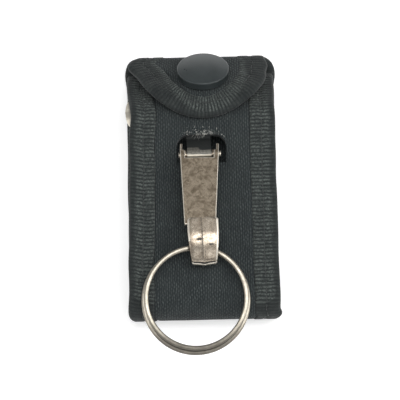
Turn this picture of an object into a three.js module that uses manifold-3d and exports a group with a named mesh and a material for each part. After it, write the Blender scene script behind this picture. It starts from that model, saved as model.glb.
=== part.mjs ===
// Belt key holder. A nylon strap with ribbed binding folds into a belt loop and closes with a half-round
// snap flap. A sprung gate hook hangs from a slot in the front panel and carries a split key ring.
// Millimetres, lying on its back: +Y towards the flap, +Z towards the viewer.
import * as THREE from 'three';
import { mergeVertices } from 'three/addons/utils/BufferGeometryUtils.js';
import Module from 'manifold-3d';

const wasm = await Module();
wasm.setup();

// Strap, seen from the front
const STRAP_LENGTH = 81;
const STRAP_WIDTH_TOP = 42.4;
const STRAP_WIDTH_BOTTOM = 44;
const LOOP_DEPTH = 14;
const TOP_FOLD_RADIUS = 4.2;
const PANEL_BEND_RADIUS = 8;
const PANEL_END = 1.2;
const TOP_CORNER_POWER = 4;

// Layers of the strap, from the outside in
const OUTER_CLOTH = 0.9;
const CORE_BOARD = 0.5;
const LINING_CLOTH = 0.6;
const LAYER_GAP = 0.1;

// Binding tape
const TAPE = 0.5;
const SIDE_TAPE_FRONT = 7.3;
const SIDE_TAPE_BACK = 6.4;
const FLAP_TAPE_FRONT = 6.2;
const FLAP_TAPE_BACK = 5.4;

// Flap
const FLAP_WIDTH = 39.4;
const FLAP_REACH = 22.3;
const FLAP_ROUND = 22.9;
const FLAP_SLOPE = 35;
const FLAP_BEND_RADIUS = 12;
const FLAP_LIFT = 0.3;
const FLAP_SPLIT = 0.3;

// Snap on the slope of the flap
const SNAP_X = 0.9;
const SNAP_ALONG = 7.8;
const SNAP_STACK = 2.4;
const CAP_DIAMETER = 15.2;
const CAP_HEIGHT = 3.4;
const CAP_RIM = 2.6;
const CAP_BASE_RADIUS = 7.3;
const BARREL_RADIUS = 1.3;
const SOCKET_RADIUS = 5.5;
const SOCKET_WALL = 0.35;
const STUD_FLANGE_RADIUS = 4;
const STUD_FLANGE = 0.4;
const NUB_RADIUS = 2.6;
const NUB_WALL = 0.8;
const NUB_CLEARANCE = 0.4;
const POST_RADIUS = 1.2;
const POST_FLANGE_RADIUS = 2.2;
const POST_FLANGE = 0.5;

// Slot in the front panel, measured from the strap's bottom edge
const SLOT_WIDTH = 14.4;
const SLOT_BOTTOM = 45.5;
const SLOT_TOP = 54.2;
const SLOT_CORNER = 3.6;

// Hanger plate behind the front panel
const HANGER_SHEET = 0.8;
const HANGER_ARM_WIDTH = 11.5;
const HANGER_ARM_RIGHT = 18;
const HANGER_ARM_SHIFT = 0.9;
const HANGER_POKE = 0.6;
const HANGER_END_BOW = 1.5;
const TONGUE_SHEET = 0.7;
const TONGUE_WIDTH = 7;
const TONGUE_RISE = 50;
const TONGUE_BEND_RADIUS = 1.5;
const KNUCKLE_WRAP = 265;
const RIVET_SPACING = 20;
const RIVET_UP_SLOPE = 2.6;
const RIVET_SHANK_RADIUS = 0.9;
const RIVET_HEAD_RADIUS = 2;
const RIVET_HEAD = 0.6;
const RIVET_TAIL_RADIUS = 1.6;

// Clip: the hook, its pin, its lever and the spring between them
const CLIP_X = -0.65;
const CLIP_LEAN = 1.5;
const PIN_Y = 46.9;
const PIN_HEIGHT = 3.1;
const PIN_RADIUS = 0.6;
const PIN_HEAD_RADIUS = 0.95;
const PIN_HEAD = 0.45;
const PIN_TAIL = 0.25;
const PIN_CLEARANCE = 0.2;
const HOOK_SHEET = 1.2;
const HOOK_LIFT = 0.4;
const HOOK_TOP = 2.7;
const HOOK_BEND = 30.5;
const HOOK_BEND_RADIUS = 2.5;
const HOOK_CROWN_RADIUS = 14;
const HOOK_CROWN_TURN = 30;
const HOOK_TIP_FLAT = 4.2;
const HOOK_STRIP_WIDTH = 5.4;
const HOOK_BEND_WIDTH = 7.3;
const HOOK_BELLY_WIDTH = 9.1;
const HOOK_TIP_WIDTH = 9;
const HOOK_TIP_CHAMFER = 0.6;
const HOOK_SHOULDER_WIDTH = 8.2;
const HOOK_FLARE = 5.6;
const HOOK_EAR_SHEET = 0.6;
const HOOK_EAR_RADIUS = 1.5;
const HOOK_EAR_FROM = 260;
const HOOK_EAR_TO = 510;
const SIDE_CLEARANCE = 0.25;
const LEVER_SHEET = 0.8;
const LEVER_SKEW = 2;
const LEVER_LENGTH = 22.3;
const LEVER_TOP_WIDTH = 11.3;
const LEVER_END_WIDTH = 9.1;
const LEVER_RISE = 2.5;
const LEVER_TIP_GAP = 0.4;
const LEVER_FLANGE_END = 2;
const LEVER_EAR_DROP = 2.2;
const LEVER_EAR_TOP = 3.3;
const LEVER_EAR_SLANT = 0.5;
const LEVER_FLANGE_TOP = 2.6;
const LEVER_FLANGE_KNEE = 6.2;
const LEVER_NOTCH_WIDTH = 8.4;
const LEVER_NOTCH = 1.6;
const SPRING_SHEET = 0.35;
const SPRING_WIDTH = 4;
const SPRING_BEND = 8.7;
const SPRING_BEND_RADIUS = 1.2;
const SPRING_FOOT = 11;
const SPRING_ARM = 9.5;
const SPRING_RISE = 4.6;
const SPRING_GAP = 0.2;

// Split key ring
const RING_DIAMETER = 31.3;
const RING_WIRE_WIDTH = 1.7;
const RING_WIRE_HEIGHT = 0.95;
const RING_COIL_GAP = 0.5;
const RING_CHAMFER = 0.25;
const RING_RAMP_STEPS = 4;
const RING_STEPS = 48;
const RING_X = -0.1;
const RING_WIRE_Y = 17.8;
const RING_WIRE_LIFT = 1.65;
const RING_LEAN = 9;
const RING_TILT = 8.5;

// Facets
const ARC_STEP = 9;
const EDGE_STEP = 6;
const DOME_STEP = 15;
const ROUND_STEPS = 24;
const HOLE_STEPS = 12;
const CORNER_STEPS = 8;
const STATION_MERGE = 0.02;
const EDGE_BREAK = 0.25;
const CUT_MARGIN = 1;
const HOLE_CLEARANCE = 0.3;

const { degToRad, lerp, clamp } = THREE.MathUtils;

// Worked out from the driving dimensions
const PLY = OUTER_CLOTH + CORE_BOARD + LINING_CLOTH + 2 * LAYER_GAP;
const slope = degToRad(FLAP_SLOPE);
const foldY = STRAP_LENGTH - TOP_FOLD_RADIUS;
const bottomFoldRadius = LOOP_DEPTH / 2;
const splitAngle = THREE.MathUtils.radToDeg(FLAP_SPLIT / 2 / TOP_FOLD_RADIUS);
const pinZ = LOOP_DEPTH + PIN_HEIGHT;

// A side view path of straights and arcs in the YZ plane. The heading is an angle from +Y towards +Z, and
// depth is measured to the left of the heading.
class Path {
  constructor(y, z, degrees) {
    this.end = { y, z, heading: degToRad(degrees) };
    this.length = 0;
    this.pieces = [];
  }

  add(length, turn, steps) {
    this.pieces.push({ ...this.end, start: this.length, length, turn, steps });
    this.length += length;
    this.end = this.frame(this.length);
    return this;
  }

  straight(length) {
    return this.add(length, 0, 1);
  }

  // A positive turn goes left, from +Y towards +Z.
  arc(radius, degrees) {
    const turn = degToRad(degrees);
    return this.add(radius * Math.abs(turn), turn, Math.ceil(Math.abs(degrees) / ARC_STEP));
  }

  frame(s) {
    const piece = this.pieces.findLast((each) => s >= each.start) ?? this.pieces[0];
    const along = s - piece.start;
    if (piece.turn === 0) {
      const y = piece.y + along * Math.cos(piece.heading);
      const z = piece.z + along * Math.sin(piece.heading);
      return { y, z, heading: piece.heading };
    }
    const radius = piece.length / piece.turn;
    const heading = piece.heading + along / radius;
    const y = piece.y + radius * (Math.sin(heading) - Math.sin(piece.heading));
    const z = piece.z - radius * (Math.cos(heading) - Math.cos(piece.heading));
    return { y, z, heading };
  }

  point(s, depth) {
    const { y, z, heading } = this.frame(s);
    return [y - depth * Math.sin(heading), z + depth * Math.cos(heading)];
  }

  stations(from = 0, to = this.length, extra = []) {
    const marks = [from, to, ...extra];
    for (const piece of this.pieces) {
      for (let i = 0; i <= piece.steps; i += 1) {
        marks.push(piece.start + (piece.length * i) / piece.steps);
      }
    }
    const inside = marks.filter((s) => s >= from && s <= to).sort((a, b) => a - b);
    return inside.filter((s, i) => i === 0 || s - inside[i - 1] > STATION_MERGE);
  }
}

// Solids and meshes

// A closed solid through a row of matching rings. The contour is the rings' shared outline, anticlockwise,
// and gives the triangles of the two end caps.
function loft(rings, contour) {
  const count = contour.length;
  const index = [];
  for (let r = 0; r + 1 < rings.length; r += 1) {
    for (let i = 0; i < count; i += 1) {
      const a = r * count + i;
      const b = r * count + ((i + 1) % count);
      index.push(a, b, b + count, a, b + count, a + count);
    }
  }
  const last = (rings.length - 1) * count;
  const cap = THREE.ShapeUtils.triangulateShape(contour.map(([a, b]) => new THREE.Vector2(a, b)), []);
  for (const [a, b, c] of cap) {
    index.push(c, b, a, last + a, last + b, last + c);
  }
  const positions = rings.flat(2);
  if (signedVolume(positions, index) < 0) {
    index.reverse();
  }
  const geometry = new THREE.BufferGeometry();
  geometry.setAttribute('position', new THREE.Float32BufferAttribute(positions, 3));
  geometry.setIndex(index);
  return geometry;
}

function signedVolume(positions, index) {
  const corner = (k) => new THREE.Vector3().fromArray(positions, index[k] * 3);
  let volume = 0;
  for (let k = 0; k < index.length; k += 3) {
    volume += corner(k).dot(corner(k + 1).cross(corner(k + 2))) / 6;
  }
  return volume;
}

function solid(geometry) {
  const bare = geometry.clone();
  bare.deleteAttribute('normal');
  bare.deleteAttribute('uv');
  const merged = mergeVertices(bare, 1e-4);
  const vertProperties = new Float32Array(merged.attributes.position.array);
  const triVerts = new Uint32Array(merged.index.array);
  return new wasm.Manifold(new wasm.Mesh({ numProp: 3, vertProperties, triVerts }));
}

function geometryOf(manifold) {
  const { vertProperties, triVerts } = manifold.getMesh();
  const geometry = new THREE.BufferGeometry();
  geometry.setAttribute('position', new THREE.BufferAttribute(new Float32Array(vertProperties), 3));
  geometry.setIndex(Array.from(triVerts));
  return geometry;
}

function cut(geometry, ...tools) {
  return geometryOf(tools.reduce((body, tool) => body.subtract(solid(tool)), solid(geometry)));
}

function join(geometry, ...others) {
  return geometryOf(others.reduce((body, other) => body.add(solid(other)), solid(geometry)));
}

function keep(geometry, tool) {
  return geometryOf(solid(geometry).intersect(solid(tool)));
}

// A solid of revolution about Z from [radius, height] points.
function turned(points, steps = ROUND_STEPS) {
  const profile = points.map(([radius, height]) => new THREE.Vector2(radius, height));
  return new THREE.LatheGeometry(profile, steps).rotateX(Math.PI / 2);
}

function drill(radius, bottom, top) {
  return turned([[0, bottom], [radius, bottom], [radius, top], [0, top]], HOLE_STEPS);
}

function polygon(points) {
  return new THREE.Shape(points.map(([a, b]) => new THREE.Vector2(a, b)));
}

function extrude(shape, depth) {
  return new THREE.ExtrudeGeometry(shape, { depth, bevelEnabled: false, curveSegments: CORNER_STEPS });
}

// An outline in plan, drawn in X and Y, extruded from one height to another.
function extrudeUp(shape, bottom, top) {
  return extrude(shape, top - bottom).translate(0, 0, bottom);
}

// An outline in side view, drawn in Y and Z, extruded across X.
function extrudeAcross(shape, left, right) {
  const turn = new THREE.Matrix4().set(0, 0, 1, left, 1, 0, 0, 0, 0, 1, 0, 0, 0, 0, 0, 1);
  return extrude(shape, right - left).applyMatrix4(turn);
}

const RECTANGLE = [[-1, 0], [1, 0], [1, 1], [-1, 1]];

// A layer that follows a path between two depths, from left(s) to right(s) across it.
function layer(path, stations, left, right, outside, inside) {
  const rings = stations.map((s) => {
    const out = path.point(s, outside);
    const inn = path.point(s, inside);
    return [[left(s), ...out], [right(s), ...out], [right(s), ...inn], [left(s), ...inn]];
  });
  return loft(rings, RECTANGLE);
}

function symmetricLayer(path, stations, halfWidth, outside, inside) {
  return layer(path, stations, (s) => -halfWidth(s), halfWidth, outside, inside);
}

// A sheet-metal strip centred on its path.
function strip(path, stations, halfWidth, sheet) {
  return symmetricLayer(path, stations, halfWidth, -sheet / 2, sheet / 2);
}

// The outline of a tape folded over an edge: [distance in from the edge, depth], with its legs divided.
function channel(front, back, steps) {
  const leg = (from, to, depth) => {
    return Array.from({ length: steps + 1 }, (_, i) => [lerp(from, to, i / steps), depth]);
  };
  const outer = leg(0, front, 0);
  const outerInside = leg(front, TAPE, TAPE);
  const innerInside = leg(TAPE, back, PLY - TAPE);
  const inner = leg(back, 0, PLY);
  return [...outer, ...outerInside, ...innerInside, ...inner];
}

// A tool or piece drawn along Z, set on a path with its +Z along the outward normal.
function onPath(geometry, path, x, s) {
  const { y, z, heading } = path.frame(s);
  return geometry.rotateX(heading - Math.PI).translate(x, y, z);
}

const model = new THREE.Group();
const holder = new THREE.Group();
holder.position.y = -STRAP_LENGTH / 2;
model.add(holder);

const CLOTH = { color: 0x30363a, roughness: 0.9, metalness: 0 };
const TAPE_CLOTH = { color: 0x3a3f3f, roughness: 0.85, metalness: 0 };
const BOARD = { color: 0x2a2b2a, roughness: 0.8, metalness: 0 };
const PAINTED = { color: 0x3c4244, roughness: 0.4, metalness: 0.1 };
const NICKEL = { color: 0x9a8f80, roughness: 0.35, metalness: 1 };
const STEEL = { color: 0xb4ad9f, roughness: 0.28, metalness: 1 };

function addMesh(name, geometry, look, parent = holder) {
  geometry.computeVertexNormals();
  const mesh = new THREE.Mesh(geometry, new THREE.MeshStandardMaterial(look));
  mesh.name = name;
  parent.add(mesh);
  return mesh;
}

// Where a plane parallel to the flap's slope, at a radius from the fold's centre, meets a level.
function slopeMeets(radius, level) {
  const along = (level - TOP_FOLD_RADIUS - radius * Math.cos(slope)) / Math.sin(slope);
  return { along, y: foldY + radius * Math.sin(slope) - along * Math.cos(slope) };
}

// The strap runs from its end under the snap, down the front, round the bottom and up the back.
const panelRadius = TOP_FOLD_RADIUS - PLY - SNAP_STACK;
const panelCorner = slopeMeets(panelRadius, LOOP_DEPTH);
const panelTangent = PANEL_BEND_RADIUS * Math.tan(slope / 2);
const panelSlope = panelCorner.along - panelTangent - PANEL_END;
const panelFrontY = panelCorner.y - panelTangent;
const strapPath = new Path(
  foldY + panelRadius * Math.sin(slope) - PANEL_END * Math.cos(slope),
  TOP_FOLD_RADIUS + panelRadius * Math.cos(slope) + PANEL_END * Math.sin(slope),
  180 - FLAP_SLOPE,
)
  .straight(panelSlope)
  .arc(PANEL_BEND_RADIUS, FLAP_SLOPE)
  .straight(panelFrontY - bottomFoldRadius)
  .arc(bottomFoldRadius, 180)
  .straight(foldY - bottomFoldRadius)
  .arc(TOP_FOLD_RADIUS, 90 - splitAngle);
const studS = SNAP_ALONG - PANEL_END;

// The flap carries on from the hinge line at the top of the fold.
const flapLevel = LOOP_DEPTH + FLAP_LIFT + PLY;
const flapCorner = slopeMeets(TOP_FOLD_RADIUS, flapLevel);
const flapTangent = FLAP_BEND_RADIUS * Math.tan(slope / 2);
const flapFrontY = flapCorner.y - flapTangent;
const flapPath = new Path(
  foldY + TOP_FOLD_RADIUS * Math.cos(degToRad(splitAngle)),
  TOP_FOLD_RADIUS + TOP_FOLD_RADIUS * Math.sin(degToRad(splitAngle)),
  90 + splitAngle,
)
  .arc(TOP_FOLD_RADIUS, 90 - FLAP_SLOPE - splitAngle)
  .straight(flapCorner.along - flapTangent)
  .arc(FLAP_BEND_RADIUS, FLAP_SLOPE)
  .straight(flapFrontY - (STRAP_LENGTH - FLAP_REACH));
const capS = flapPath.pieces[1].start + SNAP_ALONG;

// Strap outline

const topFold = strapPath.pieces.at(-1);

function strapHalfWidth(s, inset) {
  const straight = lerp(STRAP_WIDTH_BOTTOM, STRAP_WIDTH_TOP, strapPath.frame(s).y / STRAP_LENGTH) / 2;
  const round = clamp((s - topFold.start) / topFold.length, 0, 1) ** TOP_CORNER_POWER;
  return lerp(straight, FLAP_WIDTH / 2, round) - inset;
}

function strapLayer(inset, outside, inside) {
  return symmetricLayer(strapPath, strapPath.stations(), (s) => strapHalfWidth(s, inset), outside, inside);
}

// Holes through the front panel

function slotTool() {
  const half = SLOT_WIDTH / 2;
  const arch = new THREE.Shape();
  arch.moveTo(-half, SLOT_BOTTOM);
  arch.lineTo(half, SLOT_BOTTOM);
  arch.lineTo(half, SLOT_TOP - SLOT_CORNER);
  arch.absarc(half - SLOT_CORNER, SLOT_TOP - SLOT_CORNER, SLOT_CORNER, 0, Math.PI / 2);
  arch.absarc(SLOT_CORNER - half, SLOT_TOP - SLOT_CORNER, SLOT_CORNER, Math.PI / 2, Math.PI);
  return extrudeUp(arch, LOOP_DEPTH - PLY - CUT_MARGIN, LOOP_DEPTH + CUT_MARGIN);
}

const hangerDepth = PLY + LAYER_GAP;
const rivetS = panelSlope - RIVET_UP_SLOPE;
const rivetSides = [['left', -RIVET_SPACING / 2], ['right', RIVET_SPACING / 2]];

function rivetTools() {
  const deep = -hangerDepth - HANGER_SHEET - CUT_MARGIN;
  return rivetSides.map(([, x]) => {
    return onPath(drill(RIVET_SHANK_RADIUS + HOLE_CLEARANCE, deep, CUT_MARGIN), strapPath, x, rivetS);
  });
}

function panelTools() {
  const postHole = drill(POST_RADIUS + HOLE_CLEARANCE, -PLY - CUT_MARGIN, CUT_MARGIN);
  return [slotTool(), onPath(postHole, strapPath, SNAP_X, studS), ...rivetTools()];
}

// Strap layers. The outer cloth is pressed thin where the tape folds over it, so tape and cloth lie flush.

const thinCloth = TAPE + LAYER_GAP;
const outerSheet = join(
  strapLayer(thinCloth, thinCloth, OUTER_CLOTH),
  strapLayer(SIDE_TAPE_FRONT + LAYER_GAP, 0, (thinCloth + OUTER_CLOTH) / 2),
);
const coreDepth = OUTER_CLOTH + LAYER_GAP;
const liningDepth = coreDepth + CORE_BOARD + LAYER_GAP;
addMesh('strap_outer', cut(outerSheet, ...panelTools()), CLOTH);
addMesh('strap_core', cut(strapLayer(thinCloth, coreDepth, coreDepth + CORE_BOARD), ...panelTools()), BOARD);
const liningSheet = strapLayer(SIDE_TAPE_BACK + LAYER_GAP, liningDepth, PLY);
addMesh('strap_lining', cut(liningSheet, ...panelTools()), CLOTH);

function sideBinding(side) {
  const contour = channel(SIDE_TAPE_FRONT, SIDE_TAPE_BACK, 1);
  const rings = strapPath.stations().map((s) => {
    return contour.map(([d, depth]) => [side * strapHalfWidth(s, d), ...strapPath.point(s, depth)]);
  });
  return loft(rings, contour);
}

addMesh('binding_left', sideBinding(-1), TAPE_CLOTH);
addMesh('binding_right', sideBinding(1), TAPE_CLOTH);

// Flap layers and the tape round their edge, which ends in half an ellipse

const flapRadius = FLAP_WIDTH / 2;
const flapCentreS = flapPath.length - FLAP_ROUND;

function flapLayer(inset, outside, inside) {
  const across = flapRadius - inset;
  const along = FLAP_ROUND - inset;
  const halfWidth = (s) => across * Math.sqrt(1 - (Math.max(0, s - flapCentreS) / along) ** 2);
  const rim = [];
  for (let degrees = 0; degrees < 90; degrees += EDGE_STEP) {
    rim.push(flapCentreS + along * Math.sin(degToRad(degrees)));
  }
  return symmetricLayer(flapPath, flapPath.stations(0, rim.at(-1), rim), halfWidth, outside, inside);
}

function flapTool() {
  const hole = drill(BARREL_RADIUS + HOLE_CLEARANCE, -PLY - CUT_MARGIN, CUT_MARGIN);
  return onPath(hole, flapPath, SNAP_X, capS);
}

function flapEdge() {
  const sides = flapPath.stations(0, flapCentreS).slice(0, -1);
  const right = sides.map((s) => ({ x: flapRadius, s, inX: -1, inS: 0 }));
  const left = sides.map((s) => ({ x: -flapRadius, s, inX: 1, inS: 0 })).reverse();
  const round = [];
  for (let degrees = 0; degrees <= 180; degrees += EDGE_STEP) {
    const c = Math.cos(degToRad(degrees));
    const n = Math.sin(degToRad(degrees));
    const size = Math.hypot(c / flapRadius, n / FLAP_ROUND);
    const inX = -c / flapRadius / size;
    const inS = -n / FLAP_ROUND / size;
    round.push({ x: flapRadius * c, s: flapCentreS + FLAP_ROUND * n, inX, inS });
  }
  return [...right, ...round, ...left];
}

function flapBinding() {
  const contour = channel(FLAP_TAPE_FRONT, FLAP_TAPE_BACK, 4);
  const rings = flapEdge().map(({ x, s, inX, inS }) => {
    return contour.map(([d, depth]) => [x + inX * d, ...flapPath.point(s + inS * d, depth)]);
  });
  return loft(rings, contour);
}

const flapSheet = join(
  flapLayer(thinCloth, thinCloth, OUTER_CLOTH),
  flapLayer(FLAP_TAPE_FRONT + LAYER_GAP, 0, (thinCloth + OUTER_CLOTH) / 2),
);
addMesh('flap_outer', cut(flapSheet, flapTool()), CLOTH);
addMesh('flap_core', cut(flapLayer(thinCloth, coreDepth, coreDepth + CORE_BOARD), flapTool()), BOARD);
addMesh('flap_lining', cut(flapLayer(FLAP_TAPE_BACK + LAYER_GAP, liningDepth, PLY), flapTool()), CLOTH);
addMesh('flap_binding', flapBinding(), TAPE_CLOTH);

// Snap. Heights on the flap are above its outer face, heights on the panel above the panel.

const nubTop = SNAP_STACK - LAYER_GAP - SOCKET_WALL - LAYER_GAP;
const barrelEnd = -PLY - LAYER_GAP - SOCKET_WALL / 2;
const capRadius = CAP_DIAMETER / 2;
const capProfile = [
  [0, barrelEnd], [BARREL_RADIUS, barrelEnd], [BARREL_RADIUS, LAYER_GAP], [CAP_BASE_RADIUS, LAYER_GAP],
  [capRadius, CAP_RIM - EDGE_BREAK], [capRadius, CAP_RIM],
];
for (let degrees = DOME_STEP; degrees < 90; degrees += DOME_STEP) {
  const dome = degToRad(degrees);
  capProfile.push([capRadius * Math.cos(dome), lerp(CAP_RIM, CAP_HEIGHT, Math.sin(dome))]);
}
capProfile.push([0, CAP_HEIGHT]);
addMesh('snap_cap', onPath(turned(capProfile), flapPath, SNAP_X, capS), PAINTED);

const socketTop = SNAP_STACK - LAYER_GAP;
const socketBottom = LAYER_GAP + STUD_FLANGE + HOLE_CLEARANCE;
const cavity = NUB_RADIUS + NUB_CLEARANCE;
const socketHole = BARREL_RADIUS + HOLE_CLEARANCE;
const socketProfile = [
  [socketHole, socketTop], [socketHole, socketTop - SOCKET_WALL], [cavity, socketTop - SOCKET_WALL],
  [cavity, socketBottom], [SOCKET_RADIUS - EDGE_BREAK, socketBottom],
  [SOCKET_RADIUS, socketBottom + EDGE_BREAK], [SOCKET_RADIUS, socketTop - EDGE_BREAK],
  [SOCKET_RADIUS - EDGE_BREAK, socketTop], [socketHole, socketTop],
];
addMesh('snap_socket', onPath(turned(socketProfile), strapPath, SNAP_X, studS), STEEL);

const flangeTop = LAYER_GAP + STUD_FLANGE;
const postTop = nubTop - NUB_WALL;
const studBore = POST_RADIUS + PIN_CLEARANCE;
const nubWaist = NUB_RADIUS - EDGE_BREAK;
const studProfile = [
  [0, postTop + PIN_CLEARANCE], [studBore, postTop + PIN_CLEARANCE], [studBore, LAYER_GAP],
  [STUD_FLANGE_RADIUS, LAYER_GAP], [STUD_FLANGE_RADIUS, flangeTop - LAYER_GAP],
  [STUD_FLANGE_RADIUS - EDGE_BREAK, flangeTop], [nubWaist, flangeTop],
  [nubWaist, lerp(flangeTop, nubTop, 1 / 3)], [NUB_RADIUS, lerp(flangeTop, nubTop, 2 / 3)],
  [nubWaist, nubTop - LAYER_GAP],
  [nubWaist - 2 * EDGE_BREAK, nubTop], [0, nubTop],
];
addMesh('snap_stud', onPath(turned(studProfile), strapPath, SNAP_X, studS), STEEL);

const postBack = -PLY - LAYER_GAP;
const postProfile = [
  [0, postBack - POST_FLANGE], [POST_FLANGE_RADIUS - EDGE_BREAK, postBack - POST_FLANGE],
  [POST_FLANGE_RADIUS, postBack - POST_FLANGE / 2], [POST_FLANGE_RADIUS, postBack],
  [POST_RADIUS, postBack], [POST_RADIUS, postTop], [0, postTop],
];
addMesh('snap_post', onPath(turned(postProfile), strapPath, SNAP_X, studS), STEEL);

// The clip's own frame has its origin below the pin, and leans about Z.
const clip = new THREE.Group();
clip.position.set(CLIP_X, PIN_Y, 0);
clip.rotation.z = degToRad(CLIP_LEAN);
holder.add(clip);

// Hanger plate: two arms behind the lining, and a tongue that comes out of the slot and rolls over the pin

const armHalf = HANGER_ARM_WIDTH / 2;
const armS = panelSlope + HANGER_ARM_SHIFT;

function hangerArms() {
  const end = (s) => HANGER_END_BOW * (1 - Math.sqrt(Math.max(0, 1 - ((s - armS) / armHalf) ** 2)));
  const left = (s) => -strapHalfWidth(s, 0) - HANGER_POKE + end(s);
  const right = (s) => HANGER_ARM_RIGHT - end(s);
  const marks = [];
  for (let degrees = EDGE_STEP - 90; degrees < 90; degrees += 2 * EDGE_STEP) {
    marks.push(armS + armHalf * Math.sin(degToRad(degrees)));
  }
  const stations = strapPath.stations(marks[0], marks.at(-1), marks);
  return layer(strapPath, stations, left, right, hangerDepth, hangerDepth + HANGER_SHEET);
}

const knuckleRadius = PIN_RADIUS + PIN_CLEARANCE + TONGUE_SHEET / 2;

function hangerTongue() {
  const level = LOOP_DEPTH - hangerDepth - HANGER_SHEET / 2;
  const rise = degToRad(TONGUE_RISE);
  const touchY = knuckleRadius * Math.sin(rise);
  const touchZ = pinZ + knuckleRadius * Math.cos(rise);
  const bend = TONGUE_BEND_RADIUS * Math.tan(rise / 2);
  const climb = (touchZ - level) / Math.sin(rise);
  const cornerY = touchY + climb * Math.cos(rise);
  const startY = panelFrontY - PIN_Y;
  const path = new Path(startY, level, 180)
    .straight(startY - cornerY - bend)
    .arc(TONGUE_BEND_RADIUS, -TONGUE_RISE)
    .straight(climb - bend)
    .arc(knuckleRadius, KNUCKLE_WRAP);
  return strip(path, path.stations(), () => TONGUE_WIDTH / 2, TONGUE_SHEET);
}

clip.updateMatrix();
const hanger = join(hangerArms(), hangerTongue().applyMatrix4(clip.matrix));
addMesh('hanger_plate', cut(hanger, ...rivetTools()), NICKEL);

for (const [side, x] of rivetSides) {
  const tail = -hangerDepth - HANGER_SHEET - LAYER_GAP;
  const profile = [
    [0, tail - RIVET_HEAD], [RIVET_TAIL_RADIUS, tail - RIVET_HEAD], [RIVET_TAIL_RADIUS, tail],
    [RIVET_SHANK_RADIUS, tail], [RIVET_SHANK_RADIUS, LAYER_GAP], [RIVET_HEAD_RADIUS, LAYER_GAP],
    [RIVET_HEAD_RADIUS - EDGE_BREAK, LAYER_GAP + RIVET_HEAD], [0, LAYER_GAP + RIVET_HEAD],
  ];
  addMesh(`hanger_rivet_${side}`, onPath(turned(profile), strapPath, x, rivetS), STEEL);
}

// Hook: a strip that runs down the panel, turns up into the eye and ends in a crowned front leg

const hookLevel = LOOP_DEPTH + HOOK_LIFT + HOOK_SHEET / 2;
const hookPath = new Path(-HOOK_TOP, hookLevel, 180)
  .straight(HOOK_BEND - HOOK_TOP)
  .arc(HOOK_BEND_RADIUS, HOOK_CROWN_TURN - 180)
  .arc(HOOK_CROWN_RADIUS, -HOOK_CROWN_TURN)
  .straight(HOOK_TIP_FLAT);

function hookHalfWidth(s) {
  const [shank, bend, crown] = hookPath.pieces;
  const knots = [
    [0, HOOK_SHOULDER_WIDTH], [HOOK_TOP, HOOK_SHOULDER_WIDTH], [2 * HOOK_TOP, HOOK_STRIP_WIDTH],
    [shank.length - HOOK_FLARE, HOOK_STRIP_WIDTH], [bend.start, HOOK_BEND_WIDTH],
    [crown.start, HOOK_BEND_WIDTH], [crown.start + crown.length, HOOK_BELLY_WIDTH],
    [hookPath.length - HOOK_TIP_CHAMFER, HOOK_TIP_WIDTH],
    [hookPath.length, HOOK_TIP_WIDTH - 2 * HOOK_TIP_CHAMFER],
  ];
  const next = Math.max(1, knots.findIndex(([at]) => at >= s));
  const [s0, w0] = knots[next - 1];
  const [s1, w1] = knots[next];
  return lerp(w0, w1, (s - s0) / (s1 - s0)) / 2;
}

const earInside = TONGUE_WIDTH / 2 + SIDE_CLEARANCE;

function hookEar(side) {
  const ear = new THREE.Shape();
  ear.moveTo(-2 * HOOK_TOP, hookLevel);
  ear.lineTo(-HOOK_TOP, hookLevel);
  ear.absarc(0, pinZ, HOOK_EAR_RADIUS, degToRad(HOOK_EAR_FROM), degToRad(HOOK_EAR_TO));
  ear.lineTo(-2 * HOOK_TOP, hookLevel + HOOK_SHEET / 2);
  const faces = [side * earInside, side * (earInside + HOOK_EAR_SHEET)];
  return extrudeAcross(ear, Math.min(...faces), Math.max(...faces));
}

function pinTool() {
  const reach = LEVER_TOP_WIDTH / 2 + CUT_MARGIN;
  const hole = drill(PIN_RADIUS + PIN_CLEARANCE, -reach, reach);
  return hole.rotateY(Math.PI / 2).translate(0, 0, pinZ);
}

const hookMarks = [
  HOOK_TOP, 2 * HOOK_TOP, hookPath.pieces[0].length - HOOK_FLARE, hookPath.length - HOOK_TIP_CHAMFER,
];
const hookStations = hookPath.stations(0, hookPath.length, hookMarks);
const hookStrip = strip(hookPath, hookStations, hookHalfWidth, HOOK_SHEET);
addMesh('hook', cut(join(hookStrip, hookEar(-1), hookEar(1)), pinTool()), NICKEL, clip);

const headInside = LEVER_TOP_WIDTH / 2 + PIN_CLEARANCE;
const headOutside = headInside + PIN_HEAD;
const tailOutside = headInside + PIN_TAIL;
const pinProfile = [
  [0, -tailOutside], [PIN_HEAD_RADIUS - EDGE_BREAK, -tailOutside],
  [PIN_HEAD_RADIUS, -headInside - PIN_TAIL / 2],
  [PIN_HEAD_RADIUS, -headInside], [PIN_RADIUS, -headInside], [PIN_RADIUS, headInside],
  [PIN_HEAD_RADIUS, headInside], [PIN_HEAD_RADIUS, headInside + PIN_HEAD / 2],
  [PIN_HEAD_RADIUS - EDGE_BREAK, headOutside], [0, headOutside],
];
addMesh('pivot_pin', turned(pinProfile).rotateY(Math.PI / 2).translate(0, 0, pinZ), STEEL, clip);

// Lever: a pressed channel on the pin, its end resting under the hook's tip. It sits a little askew in
// the play of its pin.

const hookTipInside = hookPath.end.z - HOOK_SHEET / 2;
const leverEndZ = hookTipInside - LEVER_TIP_GAP;
const leverTopZ = pinZ + LEVER_RISE;

function leverPlan(inset) {
  const top = LEVER_TOP_WIDTH / 2 - inset;
  const end = LEVER_END_WIDTH / 2 - inset;
  const past = LEVER_LENGTH + CUT_MARGIN;
  const endPast = lerp(top, end, past / LEVER_LENGTH);
  const above = LEVER_EAR_TOP + CUT_MARGIN;
  const outline = polygon([
    [-endPast, -past], [endPast, -past], [top, 0], [top, above], [-top, above], [-top, 0],
  ]);
  return extrudeUp(outline, 0, leverEndZ + LEVER_RISE);
}

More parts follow.
